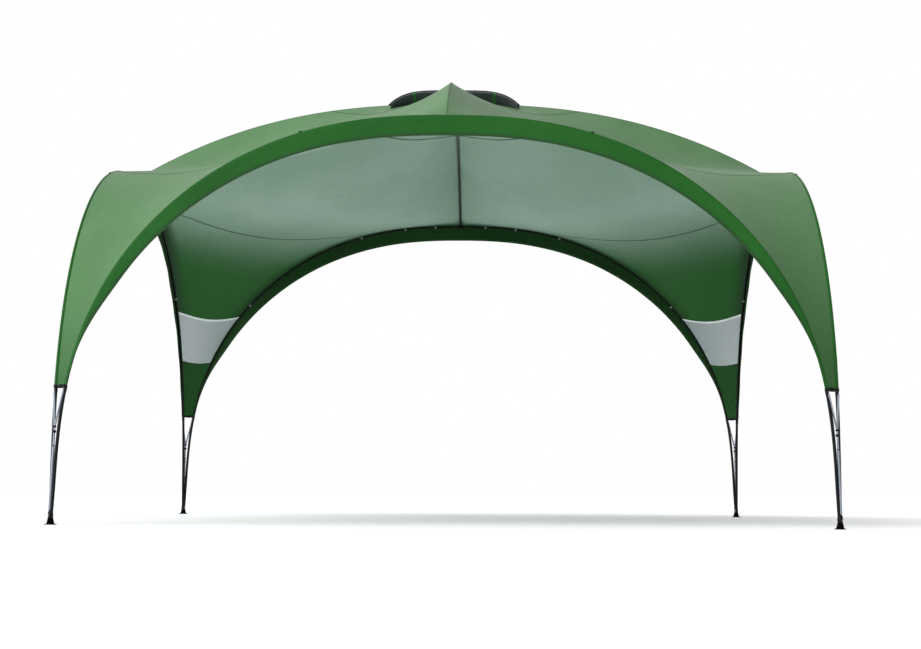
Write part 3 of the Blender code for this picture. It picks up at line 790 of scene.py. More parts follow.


# Outside cloth: its grade paints shade by height, darker down towards the legs.
M_OUT = cloth("canopy_outside", srgb(76, 114, 74), srgb(85, 123, 83), srgb(54, 88, 52), sheen=0.05,
              grade=outer_painted_shade_grade)
# Inside cloth: its grade paints shade into the corners and along the arches.
M_IN = cloth("canopy_inside", srgb(130, 157, 141), srgb(140, 166, 151), srgb(104, 132, 114), rough=0.6,
             sheen=0.05, grade=inner_painted_shade_grade)
M_TRIM = cloth("valance_green", srgb(19, 76, 19), srgb(24, 83, 24), srgb(11, 58, 11), sheen=0.06)
# Painted shade: a darker copy of the valance green for its inside, which lies in the canopy's shade.
M_TRIM_SHADED_IN = cloth("valance_green_inside", srgb(14, 52, 14), srgb(18, 58, 18), srgb(9, 38, 9), sheen=0.02)
M_TIP = cloth("tip_green", srgb(24, 76, 23), srgb(30, 84, 29), srgb(15, 55, 15), sheen=0.08)
# Painted shade: a slightly darker copy of the tip green for its inside.
M_TIP_SHADED_IN = cloth("tip_green_inside", srgb(21, 70, 22), srgb(25, 76, 27), srgb(13, 50, 15), sheen=0.02)
M_TAPE = stitched("seam_tape_outside", srgb(58, 94, 55), srgb(38, 68, 36), (-0.0045, 0.0045))
M_TAPE_IN = stitched("seam_tape_inside", srgb(56, 88, 66), srgb(34, 62, 42), (-0.0045, 0.0045))
M_TRIM_TAPE = stitched("hem_stitching", srgb(17, 60, 17), srgb(32, 78, 32), (-0.004, 0.004))
M_RIDGE = stitched("ridge_seam", srgb(66, 104, 63), srgb(54, 88, 50), (-0.0035, 0.0035))
M_WHITE = stitched("white_binding", srgb(232, 238, 238), srgb(190, 198, 196), (0.0,))
M_SCREEN = netting("window_netting", srgb(157, 173, 174), 0.0016, 0.30)
M_VENT = netting("vent_netting", srgb(110, 112, 122), 0.0016, 0.22, 0.6)
M_STRAP = stitched("vent_strap_webbing", srgb(66, 138, 70), srgb(44, 104, 48), (-0.006, 0.006))
M_POLE = metal("arch_pole_coat", srgb(13, 15, 17), 0.24, 0.1, shine=0.14)
M_LEG = metal("leg_tube_coat", srgb(13, 15, 18), 0.24, 0.1, shine=0.14)
M_BRACE = metal("brace_zinc", srgb(138, 145, 157), 0.42, 0.55)
M_STEEL = metal("bright_steel", srgb(196, 198, 200), 0.28, 1.0)
M_BLACK = plastic("black_moulding", srgb(14, 15, 16), 0.45)
M_FOOT = plastic("foot_moulding", srgb(8, 8, 9), 0.7, shine=0.0)
M_CLIP = plastic("pale_clip", srgb(112, 116, 116), 0.42)
M_WEB = webbing("black_webbing", srgb(14, 15, 16))
M_ROD = plastic("vent_rim_sleeve", srgb(16, 19, 18), 0.55)


# Canopy.

def rows_through(stops, t):
    """Row numbers of a panel: stops are (row, dip in the middle, cells to here)."""
    bow = 4.0 * t * (1.0 - t)
    out = [stops[0][0] + stops[0][1] * bow]
    for (r0, d0, _), (r1, d1, cells) in zip(stops, stops[1:]):
        a = r0 + d0 * bow
        b = r1 + d1 * bow
        for k in range(1, cells + 1):
            out.append(a + (b - a) * k / cells)
    return np.array(out)


def panel_grid(stops, cols=CROSS_CELLS):
    t = np.linspace(0.0, 1.0, cols + 1)
    rows = rows_through(stops, t)
    across = np.broadcast_to(t * CROSS_CELLS, rows.shape)
    return sample(NET, rows, across), unit(sample(NORMAL, rows, across))


def quarter_into(mesh, stops, sx, sy, mats=(0, 1), thick=SHEET_T, joined=0):
    points, normals = panel_grid(stops)
    uv = measured_uv(points)
    s = np.array([sx, -sy, 1.0])
    sheet_into(mesh, points * s, normals * s, uv, thick, mats, joined=joined)
    return points


def make_canopy():
    """The roof and the plain corners: one sheet over all four quarters, carried across the ridges."""
    mesh = Mesh()
    area = 0.0
    for sx, sy in QUARTERS.values():
        stops = [(VENT_ROW, 0.0, 0), (RIDGE_CELLS, 0.0, 52), (SEAM_ROW, SEAM_DIP, 26)]
        if sy < 0:
            stops.append((HEM_ROW - 0.05, 0.0, 62))
        else:
            stops.append((TOP_ROW, TOP_DIP, 32))
        area += sheet_area(quarter_into(mesh, stops, sx, sy, joined=52))
    middle = NET[:, CROSS_CELLS // 2]
    run = float(np.linalg.norm(np.diff(middle, axis=0), axis=1).sum())
    hem = float(np.linalg.norm(NET[-1, -1] - NET[-1, 0]))
    side = 2.0 * (run + hem / 2.0) * math.sqrt(0.5)
    return mesh.make("canopy", [M_OUT, M_IN], smooth=16.0, merge=0.00005), (side, side), area


def row_strip(row, dip, width, lift, inside, sx, sy, mesh, mat=0, cells=CROSS_CELLS):
    """Tape laid along a curved row of the net."""
    t = np.linspace(0.0, 1.0, cells + 1)
    bow = 4.0 * t * (1.0 - t)
    r = row + dip * bow
    cols = t * CROSS_CELLS
    centre = sample(NET, r, cols)
    ahead = sample(NET, np.minimum(r + 0.5, HEM_ROW), cols)
    behind = sample(NET, r - 0.5, cols)
    normal = unit(sample(NORMAL, r, cols))
    down = unit(ahead - behind)
    across = np.linspace(-width / 2.0, width / 2.0, 5)
    side = -1.0 if inside else 1.0
    points = centre[None] + across[:, None, None] * down[None]
    normals = np.broadcast_to(normal * side, points.shape)
    run = np.concatenate([[0.0], np.cumsum(np.linalg.norm(np.diff(centre, axis=0), axis=1))])
    uv = np.stack(np.broadcast_arrays(run[None, :], across[:, None]), axis=-1)
    s = np.array([sx, -sy, 1.0])
    sheet_into(mesh, points * s, normals * s, uv, 0.0006, (mat, mat), lift=lift)


def ridge_strip(width, lift, sx, sy, mesh, mat=0):
    """Half of the tape along the front or back ridge of one quarter, and half along its side ridge."""
    rows = np.linspace(VENT_ROW, RIDGE_CELLS, 70)
    s = np.array([sx, -sy, 1.0])
    for col, step in ((0.0, 0.5), (float(CROSS_CELLS), -0.5)):
        centre = sample(NET, rows, np.full(len(rows), col))
        beside = sample(NET, rows, np.full(len(rows), col + step))
        normal = unit(sample(NORMAL, rows, np.full(len(rows), col)))
        out = unit(beside - centre)
        face = unit(np.cross(unit(np.gradient(centre, axis=0)), out))
        face *= np.sign((face * normal).sum(axis=1))[:, None]
        across = np.linspace(0.0, width / 2.0, 4)
        points = centre[None] + across[:, None, None] * out[None]
        blend = (across / (width / 2.0))[:, None, None]
        normals = unit(normal[None] * (1.0 - blend) + face[None] * blend)
        run = np.concatenate([[0.0], np.cumsum(np.linalg.norm(np.diff(centre, axis=0), axis=1))])
        uv = np.stack(np.broadcast_arrays(run[None, :], across[:, None]), axis=-1)
        sheet_into(mesh, points * s, normals * s, uv, 0.0006, (mat, mat), lift=lift)


def make_seams():
    outside = Mesh()
    inside = Mesh()
    for sx, sy in QUARTERS.values():
        for row, dip in ((UPPER_ROW, UPPER_DIP), (SEAM_ROW, SEAM_DIP)):
            row_strip(row, dip, 0.014, SHEET_T / 2 + 0.0004, False, sx, sy, outside)
            row_strip(row, dip, 0.012, SHEET_T / 2 + 0.0004, True, sx, sy, inside)
        ridge_strip(0.010, SHEET_T / 2 + 0.0003, sx, sy, outside, 1)
    return (
        outside.make("seam_tape_outer", [M_TAPE, M_RIDGE], smooth=30.0),
        inside.make("seam_tape_inner", [M_TAPE_IN], smooth=30.0),
    )


def make_windows():
    """The back corners below the canopy: netting window, plain tip and the bindings of the window."""
    made = []
    for name, (sx, sy) in QUARTERS.items():
        if sy < 0:
            continue
        screen = Mesh()
        stops = [(TOP_ROW, TOP_DIP, 0), (LOW_ROW, LOW_DIP, 22)]
        points = quarter_into(screen, stops, sx, sy, (0, 0), thick=0.0006)
        net_item = screen.make("window_netting_" + name, [M_SCREEN])
        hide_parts("mesh_window_" + name)
        tip = Mesh()
        tip_points = quarter_into(tip, [(LOW_ROW, LOW_DIP, 0), (HEM_ROW - 0.05, 0.0, 26)], sx, sy)
        tip_item = tip.make("tip_cloth_" + name, [M_TIP, M_TIP_SHADED_IN])
        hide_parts("tip_panel_" + name)
        binding = Mesh()
        row_strip(TOP_ROW, TOP_DIP, 0.013, 0.0012, True, sx, sy, binding)
        row_strip(TOP_ROW, TOP_DIP, 0.013, 0.0012, False, sx, sy, binding, 1)
        bind_item = binding.make("window_binding_" + name, [M_WHITE, M_TRIM_TAPE])
        hem = Mesh()
        row_strip(LOW_ROW, LOW_DIP, 0.012, 0.0012, True, sx, sy, hem, 0)
        row_strip(LOW_ROW, LOW_DIP, 0.012, 0.0012, False, sx, sy, hem, 0)
        hem_item = hem.make("tip_binding_" + name, [M_TRIM_TAPE])
        made += [net_item, tip_item, bind_item, hem_item]
    return made


# Valances.

def make_valance():
    """Front valance: sewn over the arch pole, hanging in front of it, with a turned hem."""
    nodes = 221
    curve, normal = full_arch(HEM_Z * SPAN + 0.002, nodes)
    run = np.concatenate([[0.0], np.cumsum(np.linalg.norm(np.diff(curve, axis=0), axis=1))])
    rise = np.abs(normal[:, 1])
    t = np.clip((rise - VALANCE_WIDEN[0]) / (VALANCE_WIDEN[1] - VALANCE_WIDEN[0]), 0.0, 1.0)
    drop = VALANCE_LEG + VALANCE_DROP * rise * t * t * (3.0 - 2.0 * t)
    reach = POLE_R + 0.0010 + CLOTH_T / 2.0
    mesh = Mesh()
    rows = []
    for k in range(nodes):
        n3 = np.array([normal[k, 0], 0.0, normal[k, 1]])
        base = np.array([curve[k, 0], -HALF, curve[k, 1]])
        line = []
        for a in np.radians([52.0, 30.0, 8.0, -15.0, -40.0, -65.0, -90.0]):
            line.append(base + reach * (math.cos(a) * n3 + math.sin(a) * np.array([0.0, 1.0, 0.0])))
        depth = drop[k]
        for q in (0.12, 0.3, 0.5, 0.7, 0.85, 0.93, 1.0):
            sway = 0.0016 * math.sin(9.0 * run[k] + 1.3) + 0.0010 * math.sin(23.0 * run[k])
            sway = sway * q * q - 0.0006
            line.append(base - depth * q * n3 + np.array([0.0, -reach + sway, 0.0]))
        rows.append(line)
    points = np.array(rows)
    du = np.gradient(points, axis=0)
    dv = np.gradient(points, axis=1)
    n = unit(np.cross(du, dv))
    if n[nodes // 2, 10, 1] > 0:
        n = -n
    v = np.concatenate([np.zeros((nodes, 1)),
                        np.cumsum(np.linalg.norm(np.diff(points, axis=1), axis=2), axis=1)], axis=1)
    uv = np.stack([np.broadcast_to(run[:, None], v.shape), v], axis=-1)
    sheet_into(mesh, points, n, uv, SHEET_T, (0, 1))
    cloth_item = mesh.make("valance_cloth_front", [M_TRIM, M_TRIM_SHADED_IN], smooth=50.0)
    hem = Mesh()
    for side in (1.0, -1.0):
        centre = points[:, -1]
        upward = unit(points[:, -2] - points[:, -1])
        wide = np.minimum(0.014, 0.6 * drop)
        across = np.linspace(0.0, 1.0, 4)
        pts = centre[None] + (across[:, None] * wide[None])[..., None] * upward[None]
        nn = np.broadcast_to(n[:, -1] * side, pts.shape)
        uvs = np.stack(np.broadcast_arrays(run[None], across[:, None] * wide[None] - 0.007), axis=-1)
        sheet_into(hem, pts, nn, uvs, 0.0007, (0, 0), lift=SHEET_T / 2 + 0.0004)
    hem_item = hem.make("valance_hem_front", [M_TRIM_TAPE], smooth=40.0)
    return cloth_item, hem_item, points


# Vent.

def cap_lift(x):
    return VENT_RISE * (1.0 - np.abs(x / VENT_A) ** VENT_POWER)


def make_vent():
    xs = VENT_A * np.sin(np.linspace(-1.0, 1.0, 49) * math.pi / 2.0)
    ys = np.linspace(-VENT_B, VENT_B, 25)
    rest = CLOTH_T + 0.0006 + 0.0012
    side = np.array([roof_height(VENT_A, y) for y in ys]) + rest
    side += VENT_CORNER_LIFT * (ys / VENT_B) ** 2
    z = side[None, :] + cap_lift(xs)[:, None]
    points = np.stack(np.broadcast_arrays(xs[:, None], ys[None, :], z), axis=-1)
    n = unit(np.cross(np.gradient(points, axis=0), np.gradient(points, axis=1)))
    mesh = Mesh()
    sheet_into(mesh, points, n, measured_uv(points), SHEET_T, (0, 1))
    cap = mesh.make("vent_cap_cloth", [M_OUT, M_IN], smooth=30.0)
    binding = Mesh()
    for k in (0, -1):
        edge = points[k]
        inward = unit(points[1 if k == 0 else -2] - edge)
        across = np.linspace(0.0, 0.016, 4)
        pts = edge[None] + across[:, None, None] * inward[None]
        nn = np.broadcast_to(n[k], pts.shape)
        run = np.concatenate([[0.0], np.cumsum(np.linalg.norm(np.diff(edge, axis=0), axis=1))])
        uv = np.stack(np.broadcast_arrays(run[None], across[:, None] - 0.008), axis=-1)
        sheet_into(binding, pts, nn, uv, 0.0007, (0, 0), lift=SHEET_T / 2 + 0.0004)
    bind = binding.make("vent_cap_hem", [M_TRIM_TAPE], smooth=40.0)
    rim_y = VENT_B + 0.003 * math.cos(math.pi / 8.0) + 0.0003
    rim_z = z[:, 0]
    rim = Mesh()
    bar(rim, np.stack([xs, np.full(len(xs), -rim_y), rim_z], axis=1), 0.003, 14, flat=(0, 1, 0))
    rim_item = rim.make("vent_rim_front", [M_ROD])
    keep = np.abs(xs) < VENT_A * 0.97
    x = xs[keep]
    low_y = VENT_B - (VENT_B - VENT_IN) * (1.0 - np.abs(x / VENT_A) ** 8)
    low_z = np.array([roof_height(a, b) for a, b in zip(x, low_y)]) + CLOTH_T / 2.0 + 0.0018
    turn_z = rim_z[keep] - np.minimum(0.008, 0.45 * (rim_z[keep] - low_z))
    low = np.stack([x, -low_y, low_z], axis=1)
    mid = np.stack([x, np.full(len(x), -rim_y), turn_z], axis=1)
    top = np.stack([x, np.full(len(x), -rim_y), rim_z[keep]], axis=1)
    lines = [top] + [mid + (low - mid) * k / 6.0 for k in range(7)]
    grid = np.stack(lines, axis=1)
    gn = unit(np.cross(np.gradient(grid, axis=0), np.gradient(grid, axis=1)))
    if gn[len(x) // 2, 4, 1] > 0:
        gn = -gn
    screen = Mesh()
    sheet_into(screen, grid, gn, measured_uv(grid), 0.0006, (0, 0))
    screen_item = screen.make("vent_screen_front", [M_VENT])
    straps = Mesh()
    for sx in (-1.0, 1.0):
        k = int(np.argmin(np.abs(x - sx * 0.0625 * SPAN)))
        line = grid[k]
        across = np.linspace(-0.0085, 0.0085, 4)
        slope = (grid[min(k + 1, len(x) - 1)] - grid[k - 1])
        slope = slope / np.maximum(np.abs(slope[:, :1]), 1e-6) * np.sign(slope[:, :1])
        pts = line[None] + across[:, None, None] * slope[None]
        nn = np.broadcast_to(gn[k], pts.shape)
        run = np.concatenate([[0.0], np.cumsum(np.linalg.norm(np.diff(line, axis=0), axis=1))])
        uv = np.stack(np.broadcast_arrays(run[None], across[:, None]), axis=-1)
        sheet_into(straps, pts, nn, uv, 0.0009, (0, 0), lift=0.0011)
    strap_item = straps.make("vent_strap_front", [M_STRAP])
    return (cap, points), bind, rim_item, (screen_item, grid), strap_item


# Poles, legs, feet and fittings.

def leg_point(z):
    d, h = arch_curve()
    return np.array([float(np.interp(z, h, d)), -HALF, z])


def side_point(z):
    p = leg_point(z)
    return np.array([-p[1], -p[0], p[2]])


def make_arch_pole():
    curve, _ = full_arch(HEM_Z * SPAN - 0.001, 241)
    path = np.stack([curve[:, 0], np.full(len(curve), -HALF), curve[:, 1]], axis=1)
    run = np.concatenate([[0.0], np.cumsum(np.linalg.norm(np.diff(path, axis=0), axis=1))])
    mesh = Mesh()
    bar(mesh, path, POLE_R, 20, flat=(0, 1, 0))
    total = run[-1]
    for part in (1, 2, 4, 5):
        s = total * part / 6.0
        q = np.array([s - 0.021, s - 0.020, s + 0.020, s + 0.021])
        ring = np.stack([np.interp(q, run, path[:, k]) for k in range(3)], axis=1)
        bar(mesh, ring, [POLE_R, POLE_R + 0.0007, POLE_R + 0.0007, POLE_R], 20, flat=(0, 1, 0))
    return mesh.make("arch_tube_front", [M_POLE], smooth=35.0)


def ridge_axis(r):
    r = np.asarray(r, float)
    h = 0.001
    slope = (ridge_height(r + h) - ridge_height(np.maximum(r - h, 0.0))) / (2.0 * h)
    n = unit(np.stack([-slope, np.ones_like(r)], axis=-1))
    out = np.stack([r, ridge_height(r)], axis=-1) - n * (CLOTH_OFFSET + RIDGE_SLACK)
    return np.stack([np.zeros_like(r), -out[..., 0], out[..., 1]], axis=-1)


def make_ridge_pole():
    path = ridge_axis(np.linspace(HUB_POLE_R, HALF - CLIP_REACH, 90))
    mesh = Mesh()
    bar(mesh, path, POLE_R, 20, flat=(1, 0, 0))
    for part in (0.33, 0.66):
        k = int(part * 90)
        ring = path[k:k + 3]
        ring = np.array([ring[0], ring[0] + 0.05 * (ring[2] - ring[0]), ring[0] + 0.95 * (ring[2] - ring[0]), ring[2]])
        bar(mesh, ring, [POLE_R, POLE_R + 0.0007, POLE_R + 0.0007, POLE_R], 20, flat=(1, 0, 0))
    return mesh.make("ridge_tube_front", [M_POLE], smooth=35.0)


def make_crown_clip():
    """Moulded saddle under the arch crown with the ridge pole's socket."""
    crown = np.array([0.0, -HALF, CROWN_Z])
    end = ridge_axis(np.array([HALF - CLIP_REACH]))[0]
    inner = ridge_axis(np.array([HALF - CLIP_REACH - 0.004]))[0]
    axis = unit(end - inner)
    mesh = Mesh()
    bar(mesh, np.array([end, end + axis * 0.002, end + axis * 0.030, end + axis * 0.034]),
        [0.0050, 0.0054, 0.0054, 0.0046], 20, flat=(1, 0, 0))
    ang = np.radians(np.linspace(10.0, -128.0, 20))
    y = Y_AXIS
    x = X_AXIS
    inner_r = POLE_R + 0.0008
    outer_r = POLE_R + 0.0045
    widths = (-0.018, -0.0165, 0.0165, 0.018)
    verts = []
    for a in ang:
        d = math.cos(a) * y + math.sin(a) * UP
        for k, w in enumerate(widths):
            r = outer_r - (0.0012 if k in (0, 3) else 0.0)
            verts.append(crown + w * x + r * d)
        for w in (widths[3], widths[0]):
            verts.append(crown + w * x + inner_r * d)
    cols = 6
    faces = []
    for i in range(len(ang) - 1):
        for j in range(cols):
            a = i * cols + j
            b = i * cols + (j + 1) % cols
            faces.append((a, b, b + cols, a + cols))
    faces.append(tuple(range(cols - 1, -1, -1)))
    faces.append(tuple(range((len(ang) - 1) * cols, len(ang) * cols)))
    mesh.add(np.array(verts), faces, None, 0)
    rounded_block(mesh, crown + y * 0.0185 - UP * 0.0045, (x, y, UP), (0.022, 0.017, 0.011), 0.0025)
    turned(mesh, [(0.0022, 0.0), (0.0030, 0.0006), (0.0030, 0.0014), (0.0018, 0.0022)],
           crown + y * 0.018 - UP * 0.0098, (0, 0, -1), 16, 1)
    return mesh.make("crown_fitting_front", [M_BLACK, M_STEEL], smooth=40.0)


def make_hub():
    z = float(ridge_axis(np.array([HUB_POLE_R]))[0, 2])
    mesh = Mesh()
    turned(mesh, [(0.030, -0.011), (0.037, -0.0105), (0.040, -0.008), (0.040, 0.008), (0.037, 0.0105),
                  (0.020, 0.011)], (0, 0, z), (0, 0, 1), 48)
    for d in ((1, 0, 0), (-1, 0, 0), (0, 1, 0), (0, -1, 0)):
        d = np.array(d, float)
        c = np.array([0.0, 0.0, z])
        bar(mesh, np.array([c + d * 0.030, c + d * 0.050, c + d * 0.0535, c + d * 0.0547]),
            [0.0092, 0.0090, 0.0086, 0.0074], 20, flat=np.cross(d, UP))
        turned(mesh, [(0.0026, 0.0), (0.0034, 0.0006), (0.0034, 0.0016), (0.0020, 0.0024)],
               c + d * 0.024 - UP * 0.0108, (0, 0, -1), 14, 1)
    return mesh.make("centre_hub_moulding", [M_BLACK, M_STEEL], smooth=40.0)


def make_leg():
    """Front right leg: two tubes, bracket, brace with its collar, rivets and spring buttons."""
    mesh = Mesh()
    hem = HEM_Z * SPAN - 0.0003
    foot = 0.041
    zs = np.linspace(foot, hem, 36)
    for path, flat in (
        (np.array([leg_point(z) for z in zs]), (0.0, 1.0, 0.0)),
        (np.array([side_point(z) for z in zs]), (1.0, 0.0, 0.0)),
    ):
        lip = np.concatenate([path, [path[-1]]])
        radius = np.full(len(lip), LEG_R)
        radius[-1] = POLE_R + 0.0002
        lip[-1] = path[-1] + unit(path[-1] - path[-2]) * 0.0006
        bar(mesh, lip, radius, 20, flat=flat)
        top = path[-1]
        t = unit(path[-1] - path[-2])
        band = np.array([top - t * 0.030, top - t * 0.029, top - t * 0.0012, top - t * 0.0004])
        bar(mesh, band, [LEG_R, LEG_R + 0.0009, LEG_R + 0.0009, LEG_R], 20, flat=flat)
    out = unit(np.array([1.0, -1.0, 0.0]))
    for point in (leg_point, side_point):
        c = point(hem - 0.045)
        turned(mesh, [(0.0030, 0.0), (0.0030, 0.0012), (0.0018, 0.0026), (0.0004, 0.0031)],
               c + out * (LEG_R - 0.0006), out, 16, 1)
    c = np.array([FOOT_C, -FOOT_C, 0.0])
    turned(mesh, [(0.0125, 0.0314), (0.0130, 0.033), (0.0130, 0.052), (0.0120, 0.058), (0.0100, 0.064)],
           c, (0, 0, 1), 36, 0)
    for sign in (1.0, -1.0):
        turned(mesh, [(0.0042, 0.0), (0.0042, 0.0010), (0.0026, 0.0022), (0.0006, 0.0026)],
               c + UP * 0.043 + out * sign * 0.0128, out * sign, 18, 1)
    hub = (leg_point(COLLAR_Z) + side_point(COLLAR_Z)) / 2.0 + BRACE_OUT * out
    low = (leg_point(0.072) + side_point(0.072)) / 2.0 + 0.0078 * out
    rise = hub - low
    bar(mesh, np.array([low - UP * 0.004, low, low + 0.765 * rise, low + 0.772 * rise]),
        [0.0052, 0.0062, 0.0062, 0.0056], 20, mat=3)
    bar(mesh, np.array([low + 0.768 * rise, low + 0.780 * rise]), [0.0066, 0.0058], 20, mat=2)
    bar(mesh, np.array([low + 0.76 * rise, hub]), 0.0048, 16, mat=3)
    for height, half in ((0.0045, 0.0045), (-0.0190, 0.0055)):
        c = hub + UP * height
        bar(mesh, np.array([c - UP * half, c - UP * (half - 0.0008), c + UP * (half - 0.0008), c + UP * half]),
            [0.0076, 0.0085, 0.0085, 0.0076], 24, mat=2)
    reach = HEM_Z * SPAN - 0.022
    for point in (leg_point, side_point):
        end = point(reach) + out * 0.0080
        way = unit(end - hub)
        bar(mesh, np.array([hub + way * 0.004, end - way * 0.012, end - way * 0.006, end]),
            [0.0047, 0.0047, 0.0050, 0.0036], 16, mat=3)
        turned(mesh, [(0.0034, 0.0), (0.0034, 0.0009), (0.0020, 0.0019), (0.0005, 0.0022)],
               end - way * 0.008 + out * 0.0044, out, 16, 1)
    return mesh.make("leg_tubes_front_right", [M_LEG, M_STEEL, M_BLACK, M_BRACE], smooth=35.0)


def make_foot():
    mesh = Mesh()
    turned(mesh, [
        (0.0272, 0.0), (0.0286, 0.0004), (0.0290, 0.0012), (0.0290, 0.0024), (0.0280, 0.0032),
        (0.0204, 0.0040), (0.0190, 0.0052), (0.0178, 0.0090), (0.0162, 0.0150), (0.0148, 0.0215),
        (0.0138, 0.0270), (0.0131, 0.0300), (0.0120, 0.0310),
    ], (FOOT_C, -FOOT_C, 0.0), (0, 0, 1), 48)
    return mesh.make("foot_moulding_front_right", [M_FOOT], smooth=35.0)


def make_hem_strap():
    """Webbing across the fork with a side-release buckle and a hook on each tube."""
    mesh = Mesh()
    z = HEM_Z * SPAN - 0.0015
    a = leg_point(z)
    b = side_point(z)
    axis = unit(b - a)
    out = np.cross(axis, UP)
    if np.dot(out, np.array([1.0, -1.0, 0.0])) < 0:
        out = -out
    length = float(np.linalg.norm(b - a))
    s = np.linspace(LEG_R * 0.7, length - LEG_R * 0.7, 15)
    sag = 0.0016 * np.sin(math.pi * (s - s[0]) / (s[-1] - s[0]))
    centre = a[None] + s[:, None] * axis - sag[:, None] * UP
    across = np.linspace(-0.0085, 0.0085, 5)
    pts = centre[None] + across[:, None, None] * UP
    nn = np.broadcast_to(out, pts.shape)
    uv = np.stack(np.broadcast_arrays(s[None], across[:, None]), axis=-1)
    sheet_into(mesh, pts, nn, uv, 0.0014, (0, 0))
    mid = a + axis * length / 2.0
    rounded_block(mesh, mid + out * 0.0012 - UP * 0.0015, (axis, UP, out), (0.026, 0.0185, 0.0050), 0.0014, 1)
    rounded_block(mesh, mid + out * 0.0034 - UP * 0.0015, (axis, UP, out), (0.012, 0.0100, 0.0026), 0.0010, 1)
    for point in (a, b):
        rounded_block(mesh, point + out * (LEG_R + 0.0010), (axis, UP, out), (0.0100, 0.0150, 0.0034), 0.0011, 1)
    return mesh.make("hem_strap_webbing_front_right", [M_WEB, M_BLACK], smooth=35.0)


def make_pole_clips():
    """Pale C-clips that hold the cloth to an arch pole, in rows each side of the crown."""
    mesh = Mesh()
    curve, normal = full_arch(HEM_Z * SPAN, 401)
    for d in (0.045, 0.10, 0.18, 0.385):
        for sign in (-1.0, 1.0):
            half = curve[:, 0] * sign > 0
            k = int(np.argmin(np.where(half, np.abs(np.abs(curve[:, 0]) - d * SPAN), 9.0)))
            c = np.array([curve[k, 0], -HALF, curve[k, 1]])
            t = curve[min(k + 1, 400)] - curve[k - 1]
            t = unit(np.array([t[0], 0.0, t[1]]))
            n3 = np.array([normal[k, 0], 0.0, normal[k, 1]])
            y = Y_AXIS
            ang = np.radians(np.linspace(35.0, -160.0, 18))
            verts = []
            for a in ang:
                dr = math.cos(a) * y + math.sin(a) * n3
                for w, r in ((-0.007, 0.0076), (-0.0055, 0.0086), (0.0055, 0.0086), (0.007, 0.0076),
                             (0.007, 0.0066), (-0.007, 0.0066)):
                    verts.append(c + w * t + r * dr)
            faces = []
            for i in range(len(ang) - 1):
                for j in range(6):
                    p = i * 6 + j
                    q = i * 6 + (j + 1) % 6
                    faces.append((p, q, q + 6, p + 6))
            faces.append((5, 4, 3, 2, 1, 0))
            m = (len(ang) - 1) * 6
            faces.append((m, m + 1, m + 2, m + 3, m + 4, m + 5))
            mesh.add(np.array(verts), faces, None, 0)
    return mesh.make("pole_clips_front", [M_CLIP], smooth=40.0)


def make_guy_loops():
    """Small black loops on top of an arch, one each side of the crown."""
    mesh = Mesh()
    curve, normal = full_arch(HEM_Z * SPAN, 401)
    for k in (int(np.argmin(np.abs(curve[:, 0] - sign * 0.186 * SPAN))) for sign in (-1.0, 1.0)):
        along = unit(np.array([curve[k + 1, 0] - curve[k - 1, 0], 0.0, curve[k + 1, 1] - curve[k - 1, 1]]))
        out = np.array([normal[k, 0], 0.0, normal[k, 1]])
        base = np.array([curve[k, 0], -HALF, curve[k, 1]]) + out * 0.0085
        ang = np.radians(np.linspace(0.0, 180.0, 13))
        path = base + 0.007 * np.cos(ang)[:, None] * along + 0.0055 * np.sin(ang)[:, None] * out
        bar(mesh, path, 0.0016, 10, flat=(0, 1, 0))
        rounded_block(mesh, base + out * 0.0006, (along, Y_AXIS, out), (0.020, 0.010, 0.0024), 0.0008)
    return mesh.make("guy_loops_front", [M_BLACK], smooth=35.0)


def place(item, matrices, old, cad, slot):
    """Copies a piece to the other corners or sides; each stands for its own CAD node."""
    made = {}
    for word, matrix in matrices.items():
        piece = item if word == old else mirror_object(item, item.name.replace(old, word), matrix)
        if cad:
            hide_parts(cad + word)
        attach(piece, "root")
        made[word] = piece
    return made


CORNERS = {name: MIRROR[(sx, -sy)] for name, (sx, sy) in QUARTERS.items()}

TWO = {"front": MIRROR[(1, 1)], "back": MIRROR[(1, -1)]}

canopy, canopy_flat, canopy_area = make_canopy()
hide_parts(*["roof_panel_" + q for q in QUARTERS], *["corner_panel_" + q for q in QUARTERS])
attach(canopy, "root")
tapes = make_seams()
for tape in tapes:
    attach(tape, "root")
for piece in make_windows():
    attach(piece, "root")

valance, valance_hem, valance_points = make_valance()
valances = place(valance, SIDES4, "front", "valance_", "valance_cloth")
valance_hems = place(valance_hem, SIDES4, "front", None, "valance_cloth")

(cap, cap_points), cap_hem, rim, (screen, screen_points), vent_straps = make_vent()
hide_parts("vent_cap")
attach(cap, "root")
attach(cap_hem, "root")
screens = place(screen, TWO, "front", "vent_face_", "vent_mesh")
rims = place(rim, TWO, "front", None, "vent_mesh")
straps = place(vent_straps, TWO, "front", None, "valance_cloth")

place(make_arch_pole(), SIDES4, "front", "arch_pole_", "pole_steel")
place(make_ridge_pole(), SIDES4, "front", "ridge_pole_", "pole_steel")
place(make_crown_clip(), SIDES4, "front", "crown_clip_", "fitting_plastic")
place(make_pole_clips(), SIDES4, "front", None, None)
place(make_guy_loops(), SIDES4, "front", None, None)
hub = make_hub()
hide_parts("centre_hub")
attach(hub, "root")
place(make_leg(), CORNERS, "front_right", "leg_frame_", "leg_steel")
place(make_foot(), CORNERS, "front_right", "foot_", "foot_plastic")
place(make_hem_strap(), CORNERS, "front_right", "hem_strap_", "strap_webbing")


# Floor, camera and light.

def make_floor():
    mesh = bpy.data.meshes.new("floor")
    s = 60.0
    mesh.from_pydata([(-s, -s, 0), (s, -s, 0), (s, s, 0), (-s, s, 0)], [], [(0, 1, 2, 3)])
    item = bpy.data.objects.new("floor", mesh)
    bpy.context.scene.collection.objects.link(item)
    n = Nodes("floor_white")
    grain = n.noise(n.place(), 2.0, 3.0, 0.5)
    shade = n.mix(grain, (0.985, 0.985, 0.985), (1.0, 1.0, 1.0))
    mesh.materials.append(n.finish(shade, 0.9))


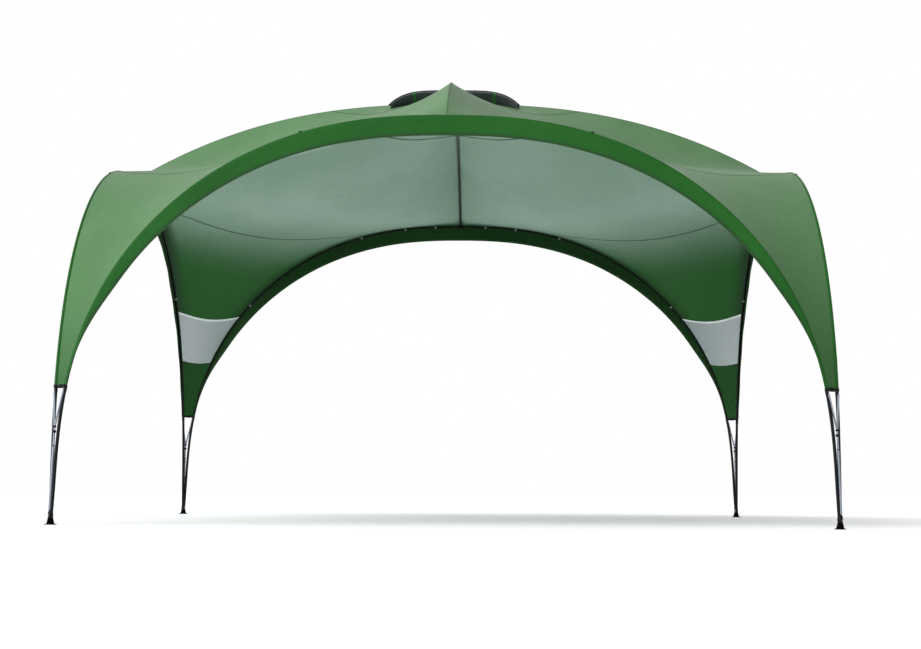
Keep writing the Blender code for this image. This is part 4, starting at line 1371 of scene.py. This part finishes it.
def make_camera():
    focal_px = 1834.18
    yaw, pitch, roll = -0.018997, 0.089187, 0.0057306
    eye = np.array([0.06408, -2.82934, 0.04860]) * SPAN
    forward = np.array([math.sin(yaw) * math.cos(pitch), math.cos(yaw) * math.cos(pitch), math.sin(pitch)])
    right = np.array([math.cos(yaw), -math.sin(yaw), 0.0])
    up = np.cross(right, forward)
    r2 = math.cos(roll) * right + math.sin(roll) * up
    u2 = -math.sin(roll) * right + math.cos(roll) * up
    data = bpy.data.cameras.new("camera")
    data.sensor_fit = "HORIZONTAL"
    data.sensor_width = 36.0
    data.lens = focal_px * 36.0 / 921.0
    data.clip_end = 200.0
    cam = bpy.data.objects.new("camera", data)
    bpy.context.scene.collection.objects.link(cam)
    cam.matrix_world = Matrix((
        (r2[0], u2[0], -forward[0], eye[0]),
        (r2[1], u2[1], -forward[1], eye[1]),
        (r2[2], u2[2], -forward[2], eye[2]),
        (0, 0, 0, 1),
    ))
    bpy.context.scene.camera = cam


def make_light():
    world = bpy.data.worlds.new("studio")
    bpy.context.scene.world = world
    world.use_nodes = True
    back = world.node_tree.nodes["Background"]
    back.inputs["Color"].default_value = (1.0, 1.0, 1.0, 1.0)
    tree = world.node_tree
    way = tree.nodes.new("ShaderNodeSeparateXYZ")
    tree.links.new(tree.nodes.new("ShaderNodeTexCoord").outputs["Generated"], way.inputs[0])
    both = tree.nodes.new("ShaderNodeMath")
    both.operation = "MULTIPLY"
    for axis, low, high, least in ((0, 0.28, 0.80, 0.30), (2, 0.32, 1.0, 0.75)):
        dim = tree.nodes.new("ShaderNodeMapRange")
        for socket, value in (("From Min", low), ("From Max", high), ("To Min", 1.0), ("To Max", least)):
            dim.inputs[socket].default_value = value
        tree.links.new(way.outputs[axis], dim.inputs["Value"])
        tree.links.new(dim.outputs["Result"], both.inputs[axis // 2])
    tree.links.new(both.outputs[0], back.inputs["Strength"])
    data = bpy.data.lights.new("key", "SUN")
    data.energy = 2.9
    data.angle = math.radians(70.0)
    key = bpy.data.objects.new("key", data)
    bpy.context.scene.collection.objects.link(key)
    key.rotation_euler = Vector((7.5, 7.0, -5.6)).to_track_quat("-Z", "Y").to_euler()
    bpy.context.scene.view_settings.view_transform = "Standard"


make_floor()
make_camera()
make_light()
